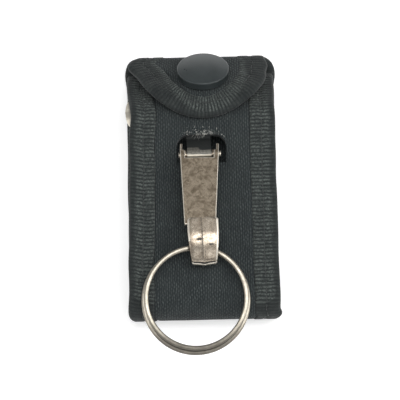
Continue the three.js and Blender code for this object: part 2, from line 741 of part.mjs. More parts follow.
function leverSide() {
  return extrudeAcross(polygon([
    [-LEVER_LENGTH, leverEndZ - LEVER_FLANGE_END], [-LEVER_FLANGE_KNEE, leverTopZ - LEVER_FLANGE_TOP],
    [-LEVER_EAR_DROP / 2, pinZ - LEVER_EAR_DROP], [LEVER_EAR_DROP / 2, pinZ - LEVER_EAR_DROP],
    [LEVER_EAR_DROP, pinZ - LEVER_EAR_DROP / 2], [LEVER_EAR_TOP, pinZ + LEVER_EAR_SLANT],
    [-LEVER_EAR_SLANT, leverTopZ], [-LEVER_LENGTH, leverEndZ],
  ]), -LEVER_TOP_WIDTH, LEVER_TOP_WIDTH);
}

function leverHollow() {
  const drop = (leverTopZ - leverEndZ) / LEVER_LENGTH;
  const past = LEVER_LENGTH + CUT_MARGIN;
  const above = LEVER_EAR_TOP + CUT_MARGIN;
  const under = extrudeAcross(polygon([
    [-past, 0], [above, 0], [above, leverTopZ + drop * above - LEVER_SHEET],
    [-past, leverTopZ - drop * past - LEVER_SHEET],
  ]), -LEVER_TOP_WIDTH, LEVER_TOP_WIDTH);
  return keep(under, leverPlan(LEVER_SHEET));
}

function leverNotch() {
  const half = LEVER_NOTCH_WIDTH / 2;
  const above = LEVER_EAR_TOP + CUT_MARGIN;
  const outline = polygon([[-half, -LEVER_NOTCH], [half, -LEVER_NOTCH], [half, above], [-half, above]]);
  return extrudeUp(outline, 0, leverTopZ + CUT_MARGIN);
}

const lever = new THREE.Group();
lever.rotation.z = degToRad(-LEVER_SKEW);
clip.add(lever);
const leverBlank = keep(leverSide(), leverPlan(0));
const leverHole = pinTool().rotateZ(degToRad(LEVER_SKEW));
addMesh('lever_gate', cut(leverBlank, leverHollow(), leverNotch(), leverHole), NICKEL, lever);

// Spring: a hairpin leaf between the hook's strip and the lever

const springLevel = hookLevel + HOOK_SHEET / 2 + SPRING_GAP + SPRING_SHEET / 2;
const springPath = new Path(-SPRING_BEND - SPRING_FOOT, springLevel, 0)
  .straight(SPRING_FOOT)
  .arc(SPRING_BEND_RADIUS, 180 - SPRING_RISE)
  .straight(SPRING_ARM);
const springStrip = strip(springPath, springPath.stations(), () => SPRING_WIDTH / 2, SPRING_SHEET);
addMesh('gate_spring', springStrip, STEEL, clip);

// Split ring: one wire of nearly two turns that climbs from one level to the other in a short ramp

const ringRadius = (RING_DIAMETER - RING_WIRE_WIDTH) / 2;
const ringPitch = RING_WIRE_HEIGHT + RING_COIL_GAP;

function wireContour() {
  const w = RING_WIRE_WIDTH / 2;
  const h = RING_WIRE_HEIGHT / 2;
  const c = RING_CHAMFER;
  return [[w, c - h], [w, h - c], [w - c, h], [c - w, h], [-w, h - c], [-w, c - h], [c - w, -h], [w - c, -h]];
}

function ringRings() {
  const rings = [];
  const half = RING_RAMP_STEPS / 2;
  for (let step = half; step <= 2 * RING_STEPS - half; step += 1) {
    const angle = (2 * Math.PI * step) / RING_STEPS;
    const ramp = THREE.MathUtils.smoothstep(step, RING_STEPS - half, RING_STEPS + half);
    const level = (ramp - 0.5) * ringPitch;
    rings.push(wireContour().map(([out, up]) => {
      const radius = ringRadius + out;
      return [radius * Math.sin(angle), radius * Math.cos(angle) - ringRadius, level + up];
    }));
  }
  return rings;
}

// The least distance between points of the wire that lie more than half a turn apart
function leastGap(rings) {
  let least = Infinity;
  for (let i = 0; i < rings.length; i += 1) {
    for (let j = i + RING_STEPS / 2; j < rings.length; j += 1) {
      for (const a of rings[i]) {
        for (const b of rings[j]) {
          least = Math.min(least, Math.hypot(a[0] - b[0], a[1] - b[1], a[2] - b[2]));
        }
      }
    }
  }
  return least;
}

const coils = ringRings();
console.log(`key_ring least gap between its turns ${leastGap(coils).toFixed(3)} mm`);
const ring = addMesh('key_ring', loft(coils, wireContour()), STEEL);
ring.position.set(RING_X, RING_WIRE_Y, hookLevel + HOOK_SHEET / 2 + RING_WIRE_LIFT);
ring.rotation.set(degToRad(RING_TILT), 0, degToRad(-RING_LEAN));

export default model;
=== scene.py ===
import math
import random
from math import cos, pi, radians, sin

import bmesh
import bpy
from mathutils import Matrix, Vector, noise


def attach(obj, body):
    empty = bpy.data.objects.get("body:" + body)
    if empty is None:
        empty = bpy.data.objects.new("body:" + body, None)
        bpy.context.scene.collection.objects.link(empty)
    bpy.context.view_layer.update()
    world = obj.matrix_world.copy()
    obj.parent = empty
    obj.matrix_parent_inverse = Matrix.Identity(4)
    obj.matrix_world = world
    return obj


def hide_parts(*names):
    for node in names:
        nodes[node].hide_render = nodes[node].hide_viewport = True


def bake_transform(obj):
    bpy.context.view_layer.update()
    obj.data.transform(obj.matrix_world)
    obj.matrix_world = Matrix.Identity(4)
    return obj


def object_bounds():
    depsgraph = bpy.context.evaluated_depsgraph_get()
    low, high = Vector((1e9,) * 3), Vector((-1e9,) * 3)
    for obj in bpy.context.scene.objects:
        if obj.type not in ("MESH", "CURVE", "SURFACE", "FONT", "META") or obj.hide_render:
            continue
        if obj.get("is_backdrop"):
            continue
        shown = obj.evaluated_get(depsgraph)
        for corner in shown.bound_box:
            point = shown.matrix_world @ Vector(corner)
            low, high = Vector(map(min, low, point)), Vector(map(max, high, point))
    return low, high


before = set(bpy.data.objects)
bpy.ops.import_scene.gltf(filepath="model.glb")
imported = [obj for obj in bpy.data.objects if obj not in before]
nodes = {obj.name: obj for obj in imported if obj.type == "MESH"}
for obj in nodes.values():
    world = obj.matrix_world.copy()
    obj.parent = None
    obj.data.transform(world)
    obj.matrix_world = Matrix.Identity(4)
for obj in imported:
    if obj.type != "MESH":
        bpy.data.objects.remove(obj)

cad_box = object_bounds()
random.seed(7)

# Lengths are in millimetres and angles in degrees. MM turns a length into the frame's metres. AT is a place
# along the strap's line and a reach there.
MM = 0.001

# Strap, measured along Y from its bottom edge before it is centred
STRAP_LENGTH = 81
STRAP_WIDTH_TOP = 42.4
STRAP_WIDTH_BOTTOM = 44
LOOP_DEPTH = 14
TOP_FOLD_RADIUS = 4.2
PANEL_BEND_RADIUS = 8
PANEL_END = 1.2
PLY = 2.2
SNAP_STACK = 2.4
TOP_CORNER_POWER = 4
TOP_BULGE = 0.65
TOP_BULGE_REACH = 4
EDGE_SWAY = 0.3
EDGE_SWAY_LENGTH = 9
EDGE_EASE = 5
EDGE_NARROW = 0.5
EDGE_NARROW_REACH = 25
EDGE_DENT = 0.8
EDGE_DENT_AT = (0.9, 5.5)
CORNER_FLARE = 0.65
CORNER_FLARE_AT = (9.6, 1.8)
CORNER_ROUND = (0.9, 0.5)
CORNER_ROUND_AT = (13.3, 2.5)

# Layers of the strap, as depths below the outer face
CLOTH_TOP = 0.08
CLOTH_TUCK = 0.58
CLOTH_UNDERSIDE = 0.9
CLOTH_THINNEST = 0.02
BOARD_TOP = 1.0
BOARD_UNDERSIDE = 1.5
BOARD_INSETS = (0.8, 0.8)
LINING_TOP = 1.6
LINING_FACE = PLY - 0.1
CLOTH_RIPPLE = 0.05

# Flap
FLAP_WIDTH = 39.4
FLAP_REACH = 22.3
FLAP_ROUND = 22.9
FLAP_FLARE = (0.4, -0.7)
FLAP_FLARE_REACH = 8
FLAP_CORNER = (1, 0.7)
FLAP_CORNER_AT = (2.2, 2.2)
FLAP_LEAN = 0.8
FLAP_LEAN_OVER = (3, 10)
FLAP_PINCH = 1.6
FLAP_PINCH_AT = (1.3, 2)
FLAP_SLOPE = 35
FLAP_BEND_RADIUS = 12
FLAP_LIFT = 0.3

# Ribbed binding tape
TAPE = 0.5
TAPE_PROUD = 0.05
UNDER_TAPE = 0.7
SIDE_TAPE_FRONT = 7.3
SIDE_TAPE_BACK = 6.4
FLAP_TAPE_FRONT = 6.2
FLAP_TAPE_BACK = 5.4
FLAP_TAPE_SPREAD = 1.9
FRONT_INSETS = (SIDE_TAPE_FRONT - UNDER_TAPE, FLAP_TAPE_FRONT - UNDER_TAPE)
BACK_INSETS = (SIDE_TAPE_BACK - UNDER_TAPE, FLAP_TAPE_BACK - UNDER_TAPE)
RIB_PITCH = 1.12
RIB_HEIGHT = 0.22
RIB_ROUNDNESS = 0.6
RIB_MEAN = 0.55
RIB_STATIONS = (0, 0.1, 0.3, 0.5, 0.7, 0.9)
RIB_WANDER = 0.3
RIB_SLANT = 0.2
RIB_END = 0.3
RIB_FADE = 0.85
RIB_FADE_FROM = (1.6, 3.2)
RIB_FADE_IN = 3.5
RIB_FADE_OUT = 6
RIBBED_FROM = 2.4
SIDE_PLAIN = 2.4
FLAP_PLAIN = 1.5
STITCH_INSET = 4.1
FLAP_STITCH_INSET = 4.4
STITCH_VALLEY = 0.24
STITCH_VALLEY_REACH = 0.42
STITCH_PUCKER = 0.05
STITCH_LENGTH = 2.2
STITCH_GAP = 0.5
THREAD_RADIUS = 0.14

# Snap
SNAP_X = 0.9
SNAP_ALONG = 7.8
CAP_DIAMETER = 15.2
CAP_BASE_RADIUS = 7.3
CAP_HEIGHT = 3.4
CAP_RIM = 2.6

# Slot in the front panel
SLOT_WIDTH = 14.4
SLOT_BOTTOM = 45.5
SLOT_TOP = 54.2
SLOT_CORNER = 3.6

# Clip
CLIP_X = -0.65
CLIP_LEAN = 1.5
PIN_Y = 46.9
PIN_Z = 17.1
HOOK_SHEET = 1.2
HOOK_LEVEL = LOOP_DEPTH + 0.4 + HOOK_SHEET / 2
HOOK_TOP = 2.7
HOOK_BEND = 30.5
HOOK_BEND_RADIUS = 2.5
HOOK_CROWN_RADIUS = 14
HOOK_CROWN_TURN = 30
HOOK_TIP_FLAT = 4.2
HOOK_TIP_CHAMFER = 0.6
HOOK_GABLE = 0.3
HOOK_BEAD = 0.1
HOOK_LIP = 0.12
LIP_RISE = (74, 84)
LIP_END = 150
LIP_FALL = 30
HOOK_GROOVE = 0.24
GROOVE_TURN = 70
GROOVE_REACH = 5
GROOVE_Y = -26.9
GROOVE_Z = 18.55
SPRING_SHEET = 0.35
SPRING_WIDTH = 4

# Split ring
RING_DIAMETER = 31.3
RING_WIRE_WIDTH = 1.4
RING_WIRE_HEIGHT = 0.95
RING_BAND = 1.7
RING_SPREAD = 0.55
RING_STRETCH = 1.015
RING_PITCH = 1.45
RING_RAMP = 30
RING_X = -0.1
RING_WIRE_Y = 18.3
RING_RISE = 1.65
RING_LEAN = 9
RING_TILT = 8.5

# Camera, set to the photograph's view
VIEW_TILT = 18
VIEW_ROLL = 1.2
VIEW_DISTANCE = 3000
VIEW_WIDTH = 116
VIEW_TARGET = (-0.75, -6.45, 14)

MID_Y = STRAP_LENGTH / 2


def lerp(a, b, t):
    return a + (b - a) * t


def clamp(value, low=0.0, high=1.0):
    return max(low, min(high, value))


def smooth(value, low, high):
    t = clamp((value - low) / (high - low))
    return t * t * (3 - 2 * t)


def bell(value, centre, width):
    return math.exp(-(((value - centre) / width) ** 2))


def of_side(pair, side):
    """The left or the right value of a pair."""
    return pair[1] if side > 0 else pair[0]


def wave(*where):
    return noise.noise(Vector((*where, 0.5)[:3]))


class Path:
    """A side view of straights and arcs. The heading turns from +Y towards +Z, and depth is to its left."""

    def __init__(self, y, z, degrees):
        self.end = (y, z, radians(degrees))
        self.length = 0
        self.pieces = []

    def add(self, length, turn):
        self.pieces.append((self.length, length, turn, self.end))
        self.length += length
        self.end = self.at(self.length)
        return self

    def straight(self, length):
        return self.add(length, 0)

    def arc(self, radius, degrees):
        turn = radians(degrees)
        return self.add(radius * abs(turn), turn)

    def start_of(self, index):
        return self.pieces[index][0]

    def at(self, s):
        piece = self.pieces[0]
        for each in self.pieces[1:]:
            if s >= each[0]:
                piece = each
        start, length, turn, (y, z, heading) = piece
        along = s - start
        if turn == 0:
            return y + along * cos(heading), z + along * sin(heading), heading
        radius = length / turn
        now = heading + along / radius
        y += radius * (sin(now) - sin(heading))
        z -= radius * (cos(now) - cos(heading))
        return y, z, now

    def point(self, s, depth):
        y, z, heading = self.at(s)
        return y - depth * sin(heading), z + depth * cos(heading)


# The strap's line: from its end under the snap down the front, round the bottom, up the back and over the
# top fold into the flap.

slope = radians(FLAP_SLOPE)
fold_y = STRAP_LENGTH - TOP_FOLD_RADIUS - MID_Y


def slope_meets(radius, level):
    """Where a plane along the flap's slope, at a radius from the fold's centre, meets a level."""
    along = (level - TOP_FOLD_RADIUS - radius * cos(slope)) / sin(slope)
    return along, fold_y + radius * sin(slope) - along * cos(slope)


panel_radius = TOP_FOLD_RADIUS - PLY - SNAP_STACK
panel_along, panel_y = slope_meets(panel_radius, LOOP_DEPTH)
panel_tangent = PANEL_BEND_RADIUS * math.tan(slope / 2)
flap_level = LOOP_DEPTH + FLAP_LIFT + PLY
flap_along, flap_y = slope_meets(TOP_FOLD_RADIUS, flap_level)
flap_tangent = FLAP_BEND_RADIUS * math.tan(slope / 2)

strap = Path(
    fold_y + panel_radius * sin(slope) - PANEL_END * cos(slope),
    TOP_FOLD_RADIUS + panel_radius * cos(slope) + PANEL_END * sin(slope),
    180 - FLAP_SLOPE,
)
strap.straight(panel_along - panel_tangent - PANEL_END)
strap.arc(PANEL_BEND_RADIUS, FLAP_SLOPE)
strap.straight(panel_y - panel_tangent + MID_Y - LOOP_DEPTH / 2)
strap.arc(LOOP_DEPTH / 2, 180)
strap.straight(fold_y + MID_Y - LOOP_DEPTH / 2)
strap.arc(TOP_FOLD_RADIUS, 180 - FLAP_SLOPE)
strap.straight(flap_along - flap_tangent)
strap.arc(FLAP_BEND_RADIUS, FLAP_SLOPE)
strap.straight(flap_y - flap_tangent + MID_Y - (STRAP_LENGTH - FLAP_REACH))

bend_s = strap.start_of(1)
bottom_start = strap.start_of(3)
bottom_end = strap.start_of(4)
fold_start = strap.start_of(5)
hinge_s = fold_start + TOP_FOLD_RADIUS * pi / 2
slope_s = strap.start_of(6)
cap_s = slope_s + SNAP_ALONG
flap_radius = FLAP_WIDTH / 2
flap_centre_s = strap.length - FLAP_ROUND


def flap_flare(s, side):
    """How far one side of the flap spreads near the fold and leans to the right further down. The left side
    is drawn in at the top of the fold."""
    spread = of_side(FLAP_FLARE, side) * (1 - smooth(s - slope_s, 0, FLAP_FLARE_REACH))
    corner = of_side(FLAP_CORNER, side) * bell(s - slope_s, *FLAP_CORNER_AT)
    lean = side * FLAP_LEAN * smooth(s - slope_s, *FLAP_LEAN_OVER)
    pinch = FLAP_PINCH * bell(s - hinge_s, *FLAP_PINCH_AT) if side < 0 else 0
    return spread + corner + lean - pinch


def round_fold(s):
    """How far a place is round the top fold, from 0 at its start to 1 at the hinge."""
    return clamp((s - fold_start) / (hinge_s - fold_start))


def half_width(s, side):
    """Half the strap's width on one side, up to where the flap's round end begins."""
    y = strap.at(s)[0]
    straight = lerp(STRAP_WIDTH_BOTTOM, STRAP_WIDTH_TOP, (y + MID_Y) / STRAP_LENGTH) / 2
    straight += TOP_BULGE * bell(s, fold_start, TOP_BULGE_REACH)
    if s > fold_start:
        return lerp(straight, flap_radius + flap_flare(s, side), round_fold(s) ** TOP_CORNER_POWER)
    straight += EDGE_SWAY * wave(s / EDGE_SWAY_LENGTH, 3 * side) * smooth(fold_start - s, 0, EDGE_EASE)
    straight -= of_side(CORNER_ROUND, side) * bell(s - bottom_start, *CORNER_ROUND_AT)
    if side > 0:
        return straight + CORNER_FLARE * bell(s - bottom_start, *CORNER_FLARE_AT)
    above_bottom = smooth(bottom_start - s, 0, EDGE_NARROW_REACH)
    straight -= EDGE_NARROW * above_bottom * smooth(s, bend_s, bend_s + EDGE_EASE)
    return straight - EDGE_DENT * bell(s - bend_s, *EDGE_DENT_AT)


def flap_half_width(s, inset, side):
    if s <= hinge_s:
        return half_width(s, side) - inset
    past = clamp((s - flap_centre_s) / (FLAP_ROUND - inset))
    return (flap_radius - inset) * math.sqrt(1 - past**2) + flap_flare(s, side)


# Mesh helpers


def spaced(start, end, step):
    count = max(1, round((end - start) / step))
    return [lerp(start, end, i / count) for i in range(count + 1)]


def add_object(name, data):
    made = bpy.data.objects.new(name, data)
    bpy.context.scene.collection.objects.link(made)
    return made


def finish_mesh(name, graph, *materials):
    bmesh.ops.recalc_face_normals(graph, faces=graph.faces)
    mesh = bpy.data.meshes.new(name)
    graph.to_mesh(mesh)
    graph.free()
    mesh.polygons.foreach_set("use_smooth", [True] * len(mesh.polygons))
    for material in materials:
        mesh.materials.append(material)
    return add_object(name, mesh)


def add_tube(graph, rings):
    """Joins matching closed rings of points into a closed tube."""
    made = [[graph.verts.new(Vector(point) * MM) for point in ring] for ring in rings]
    count = len(rings[0])
    for low, high in zip(made, made[1:]):
        for i in range(count):
            j = (i + 1) % count
            graph.faces.new((low[i], low[j], high[j], high[i]))
    graph.faces.new(reversed(made[0]))
    graph.faces.new(made[-1])


def tube(name, rings, material, flat=None):
    """A piece made of one tube. flat gives each point's place in the UV map that the cloth materials read."""
    graph = bmesh.new()
    add_tube(graph, rings)
    if flat:
        places = [place for row in flat for place in row]
        graph.verts.index_update()
        uv = graph.loops.layers.uv.new("cloth")
        for face in graph.faces:
            for loop in face.loops:
                loop[uv].uv = places[loop.vert.index]
    return finish_mesh(name, graph, material)


def sharpen(piece, degrees):
    piece.data.set_sharp_from_angle(angle=radians(degrees))
    return piece


def keep_changes(piece):
    """Replaces a piece's mesh with the one its modifiers give."""
    graph = bpy.context.evaluated_depsgraph_get()
    piece.data = bpy.data.meshes.new_from_object(piece.evaluated_get(graph))
    piece.modifiers.clear()


def on_circle(degrees, radius):
    turn = radians(degrees)
    return radius * cos(turn), radius * sin(turn)


def rotation(degrees, axis):
    return Matrix.Rotation(radians(degrees), 4, axis)


def stand_in(piece, node, slot, body=None):
    """Lets a piece stand for a solid, and attaches it to a body when one is given."""
    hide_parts(node)
    if body:
        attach(piece, body)


def dressed(name, node, slot, body, bevel, *materials):
    """Puts a finished copy in a solid's place, with its hard edges rounded. A second material, paler metal as
    a painted highlight, goes on those edges."""
    same_place = 0.002 * MM
    flat_angle, hard_angle = radians(1), radians(32)
    graph = bmesh.new()
    graph.from_mesh(nodes[node].data)
    bmesh.ops.remove_doubles(graph, verts=graph.verts, dist=same_place)
    bmesh.ops.dissolve_limit(graph, angle_limit=flat_angle, verts=graph.verts, edges=graph.edges)
    bmesh.ops.connect_verts_concave(graph, faces=graph.faces)
    hard = [e for e in graph.edges if e.is_manifold and e.calc_face_angle(0) > hard_angle]
    made = bmesh.ops.bevel(
        graph, geom=hard, offset=bevel * MM, segments=3, profile=0.5,
        affect="EDGES", clamp_overlap=True,
    )
    for face in made["faces"]:
        face.material_index = len(materials) - 1
    piece = sharpen(finish_mesh(name, graph, *materials), 50)
    even = piece.modifiers.new("even", "WEIGHTED_NORMAL")
    even.keep_sharp = True
    keep_changes(piece)
    stand_in(piece, node, slot, body)


# Materials


class Shader:
    """The nodes of a material or the world, added one by one."""

    def __init__(self, owner):
        owner.use_nodes = True
        self.owner = owner
        self.tree = owner.node_tree
        self.tree.nodes.clear()

    def add(self, kind, inputs=None, **settings):
        made = self.tree.nodes.new(kind)
        for key, value in settings.items():
            setattr(made, key, value)
        for key, value in (inputs or {}).items():
            if isinstance(value, bpy.types.NodeSocket):
                self.tree.links.new(value, made.inputs[key])
            else:
                made.inputs[key].default_value = value
        return made

    def math(self, operation, a, b=0.0):
        return self.add("ShaderNodeMath", {0: a, 1: b}, operation=operation).outputs[0]

    def times(self, a, b):
        return self.math("MULTIPLY", a, b)

    def plus(self, a, b):
        return self.math("ADD", a, b)

    def larger(self, a, b):
        return self.math("MAXIMUM", a, b)

    def split(self, place):
        return self.add("ShaderNodeSeparateXYZ", {0: place}).outputs

    def noise(self, place, scale, detail=3.0, roughness=0.55):
        inputs = {"Vector": place, "Scale": scale, "Detail": detail, "Roughness": roughness}
        return self.add("ShaderNodeTexNoise", inputs).outputs["Fac"]

    def stretch(self, place, scale, move=(0, 0, 0)):
        return self.add("ShaderNodeMapping", {"Vector": place, "Location": move, "Scale": scale}).outputs[0]

    def fit(self, value, low, high, to_low=0, to_high=1):
        inputs = {"Value": value, "From Min": low, "From Max": high, "To Min": to_low, "To Max": to_high}
        return self.add("ShaderNodeMapRange", inputs).outputs[0]

    def mix(self, share, a, b):
        """A mix of two sockets or display colours."""
        a, b = (colour(*each) if isinstance(each, tuple) else each for each in (a, b))
        return self.add("ShaderNodeMix", {0: share, 6: a, 7: b}, data_type="RGBA").outputs[2]

    def bump(self, height, distance, strength, under=None):
        inputs = {"Height": height, "Distance": distance * MM, "Strength": strength}
        if under:
            inputs["Normal"] = under
        return self.add("ShaderNodeBump", inputs).outputs[0]

    def cloth_place(self):
        return self.add("ShaderNodeUVMap", uv_map="cloth").outputs[0]

    def solid_place(self):
        """Places in the solid, in millimetres."""
        place = self.add("ShaderNodeTexCoord").outputs["Object"]
        return self.stretch(place, (1 / MM, 1 / MM, 1 / MM))

    def finish(self, **inputs):
        """Ends a material in one principled surface."""
        inputs = {key.replace("_", " "): value for key, value in inputs.items()}
        surface = self.add("ShaderNodeBsdfPrincipled", inputs)
        self.add("ShaderNodeOutputMaterial", {"Surface": surface.outputs[0]})
        return self.owner


def new_material(name):
    return Shader(bpy.data.materials.new(name))


def colour(red, green, blue):
    """A colour from its 8-bit display values."""
    def linear(value):
        value /= 255
        return value / 12.92 if value <= 0.04045 else ((value + 0.055) / 1.055) ** 2.4
    return (linear(red), linear(green), linear(blue), 1)


def woven_cloth():
    """Corded weave of dark nylon yarn, with lighter flecks: random flecks in the yarn, and a painted
    highlight where the weave rises.
    """
    yarn = 0.66
    sh = new_material("woven_nylon")
    place = sh.cloth_place()
    wander = sh.noise(place, 0.45, 4)
    x, y, _ = sh.split(place)
    across = sh.plus(x, sh.times(wander, 1.1))
    along = sh.plus(y, sh.times(wander, 0.9))
    warp = sh.math("SINE", sh.times(across, pi / yarn))
    weft = sh.math("SINE", sh.times(along, pi / yarn))
    over = sh.times(warp, weft)
    height = sh.plus(sh.times(over, 0.3), sh.math("ABSOLUTE", warp))
    fleck = sh.noise(place, 1.3, 5, 0.8)
    # Painted highlight: the colour lightens where the weave rises, patchy with the random flecks.
    lit = sh.times(sh.fit(height, 0.3, 1.25), sh.fit(fleck, 0.36, 0.66, 0.1, 1.1))
    lit = sh.times(lit, sh.fit(sh.noise(place, 0.22, 3), 0.3, 0.7, 0.55, 1.15))
    patch = sh.fit(sh.noise(place, 0.12, 3), 0.35, 0.7)
    base = sh.mix(patch, (34, 39, 41), (42, 47, 48))
    tint = sh.mix(lit, base, (86, 93, 92))
    normal = sh.bump(height, 0.14, 0.8, sh.bump(fleck, 0.1, 0.4))
    return sh.finish(
        Base_Color=tint, Roughness=sh.fit(fleck, 0.3, 0.8, 0.78, 0.95), Normal=normal,
        Sheen_Weight=0.12, Sheen_Roughness=0.5, Specular_IOR_Level=0.2,
    )


def ribbed_tape():
    """Corded tape: painted shade in the grooves between ribs, yarn along each rib and a painted highlight on
    the rib tops.
    """
    sh = new_material("ribbed_tape")
    place = sh.cloth_place()
    x, y, _ = sh.split(place)
    turn = sh.times(y, pi / RIB_PITCH)
    rib = sh.math("POWER", sh.math("ABSOLUTE", sh.math("SINE", turn)), 1.2)
    yarn = sh.noise(sh.stretch(place, (1.6, 1.6, 1)), 1.0, 4, 0.65)
    twist = sh.math("SINE", sh.times(x, pi / 0.3))
    wear = sh.noise(place, 0.3, 4)
    inner = sh.fit(x, RIBBED_FROM - 1.2, RIBBED_FROM, 0.25, 1)
    # The groove colour is painted shade and the top colour a painted highlight, mixed by the rib's rise.
    groove = sh.mix(sh.fit(wear, 0.3, 0.7), (30, 34, 35), (39, 43, 43))
    top = sh.mix(sh.fit(yarn, 0.38, 0.68), (47, 52, 51), (116, 123, 119))
    lit = sh.times(sh.times(rib, inner), sh.fit(wear, 0.3, 0.65, 0.4, 1))
    tint = sh.mix(lit, groove, top)
    fine = sh.plus(sh.times(twist, 0.25), yarn)
    return sh.finish(
        Base_Color=tint, Roughness=sh.fit(yarn, 0.3, 0.8, 0.72, 0.92),
        Normal=sh.bump(fine, 0.12, 0.6),
        Sheen_Weight=0.15, Sheen_Roughness=0.45, Specular_IOR_Level=0.25,
    )


def sewing_thread(name, dark, light, scale):
    sh = new_material(name)
    place = sh.solid_place()
    twist = sh.noise(sh.stretch(place, (6, 6, 6)), 1.0, 3)
    tint = sh.mix(sh.fit(sh.noise(place, scale, 3), 0.35, 0.65), dark, light)
    return sh.finish(Base_Color=tint, Roughness=0.6, Normal=sh.bump(twist, 0.05, 0.5), Sheen_Weight=0.2)


def fibre_board():
    sh = new_material("fibre_board")
    place = sh.solid_place()
    fibre = sh.noise(sh.stretch(place, (1, 4, 4)), 1.2, 5, 0.7)
    tint = sh.mix(sh.fit(fibre, 0.3, 0.7), (34, 35, 34), (52, 53, 51))
    return sh.finish(Base_Color=tint, Roughness=0.85, Normal=sh.bump(fibre, 0.1, 0.4))


def painted_cap():
    """Satin black paint with a faint pebble and rubbed specks."""
    sh = new_material("satin_paint")
    place = sh.solid_place()
    pebble = sh.noise(place, 3.5, 2)
    cloud = sh.noise(place, 0.2, 4)
    speck = sh.fit(sh.noise(place, 1.7, 5, 0.75), 0.66, 0.74, 0, 0.25)
    base = sh.mix(sh.fit(cloud, 0.35, 0.65), (51, 57, 58), (59, 65, 66))
    tint = sh.mix(speck, base, (100, 104, 102))
    rough = sh.fit(cloud, 0.3, 0.7, 0.27, 0.36)
    normal = sh.bump(pebble, 0.03, 0.3)
    return sh.finish(Base_Color=tint, Roughness=rough, Normal=normal, Specular_IOR_Level=0.45)


def metal(name, dark, light, rough, mottle, scratch, grime_and_shade=None, dirt_and_shade=(42, 40, 36)):
    """Plated metal: cloudy tarnish, small stains and fine scratches. An optional mask darkens it to a dull
    dark colour, for real nicks and for painted shade.
    """
    sh = new_material(name)
    place = sh.solid_place()
    cloud = sh.noise(place, 0.5, 5, 0.6)
    stain = sh.noise(place, 1.6, 6, 0.75)
    mottled = sh.plus(sh.times(cloud, 0.5), sh.times(stain, 0.5))
    tint = sh.mix(sh.fit(mottled, 0.5 - mottle, 0.5 + mottle), dark, light)
    lines = sh.noise(sh.stretch(place, (5, 0.5, 2)), 1.4, 4, 0.7)
    cut = sh.fit(lines, 0.62, 0.72)
    roughness = sh.fit(mottled, 0.35, 0.65, rough + 0.1, rough)
    normal = sh.bump(cut, 0.02, scratch, sh.bump(stain, 0.03, scratch))
    metallic = 1.0
    # The mask's darkening is painted shade on the hook's groove, the ring wire's underside and the hanger
    # plate, and real nicks on the hook.
    if grime_and_shade:
        black = grime_and_shade(sh, place)
        tint = sh.mix(black, tint, dirt_and_shade)
        roughness = sh.plus(roughness, sh.times(black, 0.2))
        metallic = sh.fit(black, 0, 1, 1, 0.3)
    return sh.finish(Base_Color=tint, Metallic=metallic, Roughness=roughness, Normal=normal)


def plate_shade_mask(sh, place):
    """Painted shade on the hanger plate: black on the tongue where it sinks into the slot, dull on the
    knuckle, and a painted shadow that reaches further down the knuckle's right half than its left. The
    knuckle's rim and the end at the strap's left edge are left bright, a painted highlight."""
    x, y, _ = sh.split(place)
    bright_end, shaded_from = -19.2, -18.2
    knuckle = PIN_Y - MID_Y + 2.2
    rim = PIN_Y - MID_Y - 0.55
    uneven = sh.plus(y, sh.times(sh.noise(place, 1.6, 4, 0.7), 0.9))
    # Painted shadow: the right half darkens further down.
    uneven = sh.plus(uneven, sh.fit(x, CLIP_X - 0.3, CLIP_X + 0.2, 0, 1.3))
    above = sh.fit(uneven, knuckle, knuckle + 0.7)
    dull = sh.fit(sh.noise(place, 2.2, 4, 0.7), 0.35, 0.65, 0.7, 0.92)
    # Painted shade dulls the knuckle above its rim, which stays bright as a painted highlight.
    mottled = sh.times(sh.fit(y, rim, rim + 0.2), dull)
    return sh.times(sh.larger(above, mottled), sh.fit(x, bright_end, shaded_from))


def wire_underside_shade(sh, place):
    """Painted shade on the underside of the ring's wire, and a darker, duller stretch at its lower end."""
    dull_from, dullest = -43, -50
    up = sh.split(sh.cloth_place())[1]
    uneven = sh.plus(up, sh.times(sh.noise(place, 0.9, 4), 0.2))
    bottom = sh.fit(sh.split(place)[1], dull_from, dullest, 0, 0.6)
    return sh.larger(sh.fit(uneven, 0.12, -0.2, 0, 0.9), bottom)


def hook_nicks_and_groove_shade(sh, place):
    """Two dark nicks across the hook's crown, and painted shade in the groove below it."""
    nicks = (((-1.1, -20.85), (1.3, 0.4)), ((2.2, -22.35), (0.9, 0.32)))
    torn = sh.times(sh.math("SUBTRACT", sh.noise(place, 1.8, 4, 0.7), 0.5), 2.2)
    found = 0.0
    for (x, y), (reach_x, reach_y) in nicks:
        near = sh.stretch(place, (1 / reach_x, 1 / reach_y, 0), (-x / reach_x, -y / reach_y, 0))
        size = sh.add("ShaderNodeVectorMath", {0: near}, operation="LENGTH").outputs["Value"]
        found = sh.larger(sh.fit(sh.plus(size, torn), 1.0, 0.6, 0, 0.9), found)
    # Painted shade along the groove.
    _, y, z = sh.split(place)
    off = sh.math("ABSOLUTE", sh.math("SUBTRACT", z, GROOVE_Z))
    below = sh.fit(y, GROOVE_Y + 0.6, GROOVE_Y + 0.2)
    return sh.larger(sh.times(sh.fit(off, 0.5, 0.25), below), found)


CLOTH = woven_cloth()
RIBBED = ribbed_tape()
BOARD = fibre_board()
PAINT = painted_cap()
THREAD = sewing_thread("dark_thread", (36, 40, 40), (60, 64, 63), 2)
FRAY = sewing_thread("pale_fibre", (62, 66, 64), (225, 225, 218), 0.9)
NICKEL = metal("antique_nickel", (118, 106, 90), (196, 181, 160), 0.22, 0.09, 0.5)
HOOK_NICKEL = metal("worn_nickel", (126, 113, 98), (198, 187, 171), 0.19, 0.12, 0.4, hook_nicks_and_groove_shade)
# Painted highlight: pale nickel for rounded edges that catch the light.
NICKEL_EDGE_HIGHLIGHT = metal("nickel_edge_highlight", (222, 212, 195), (250, 244, 232), 0.3, 0.2, 0.3)
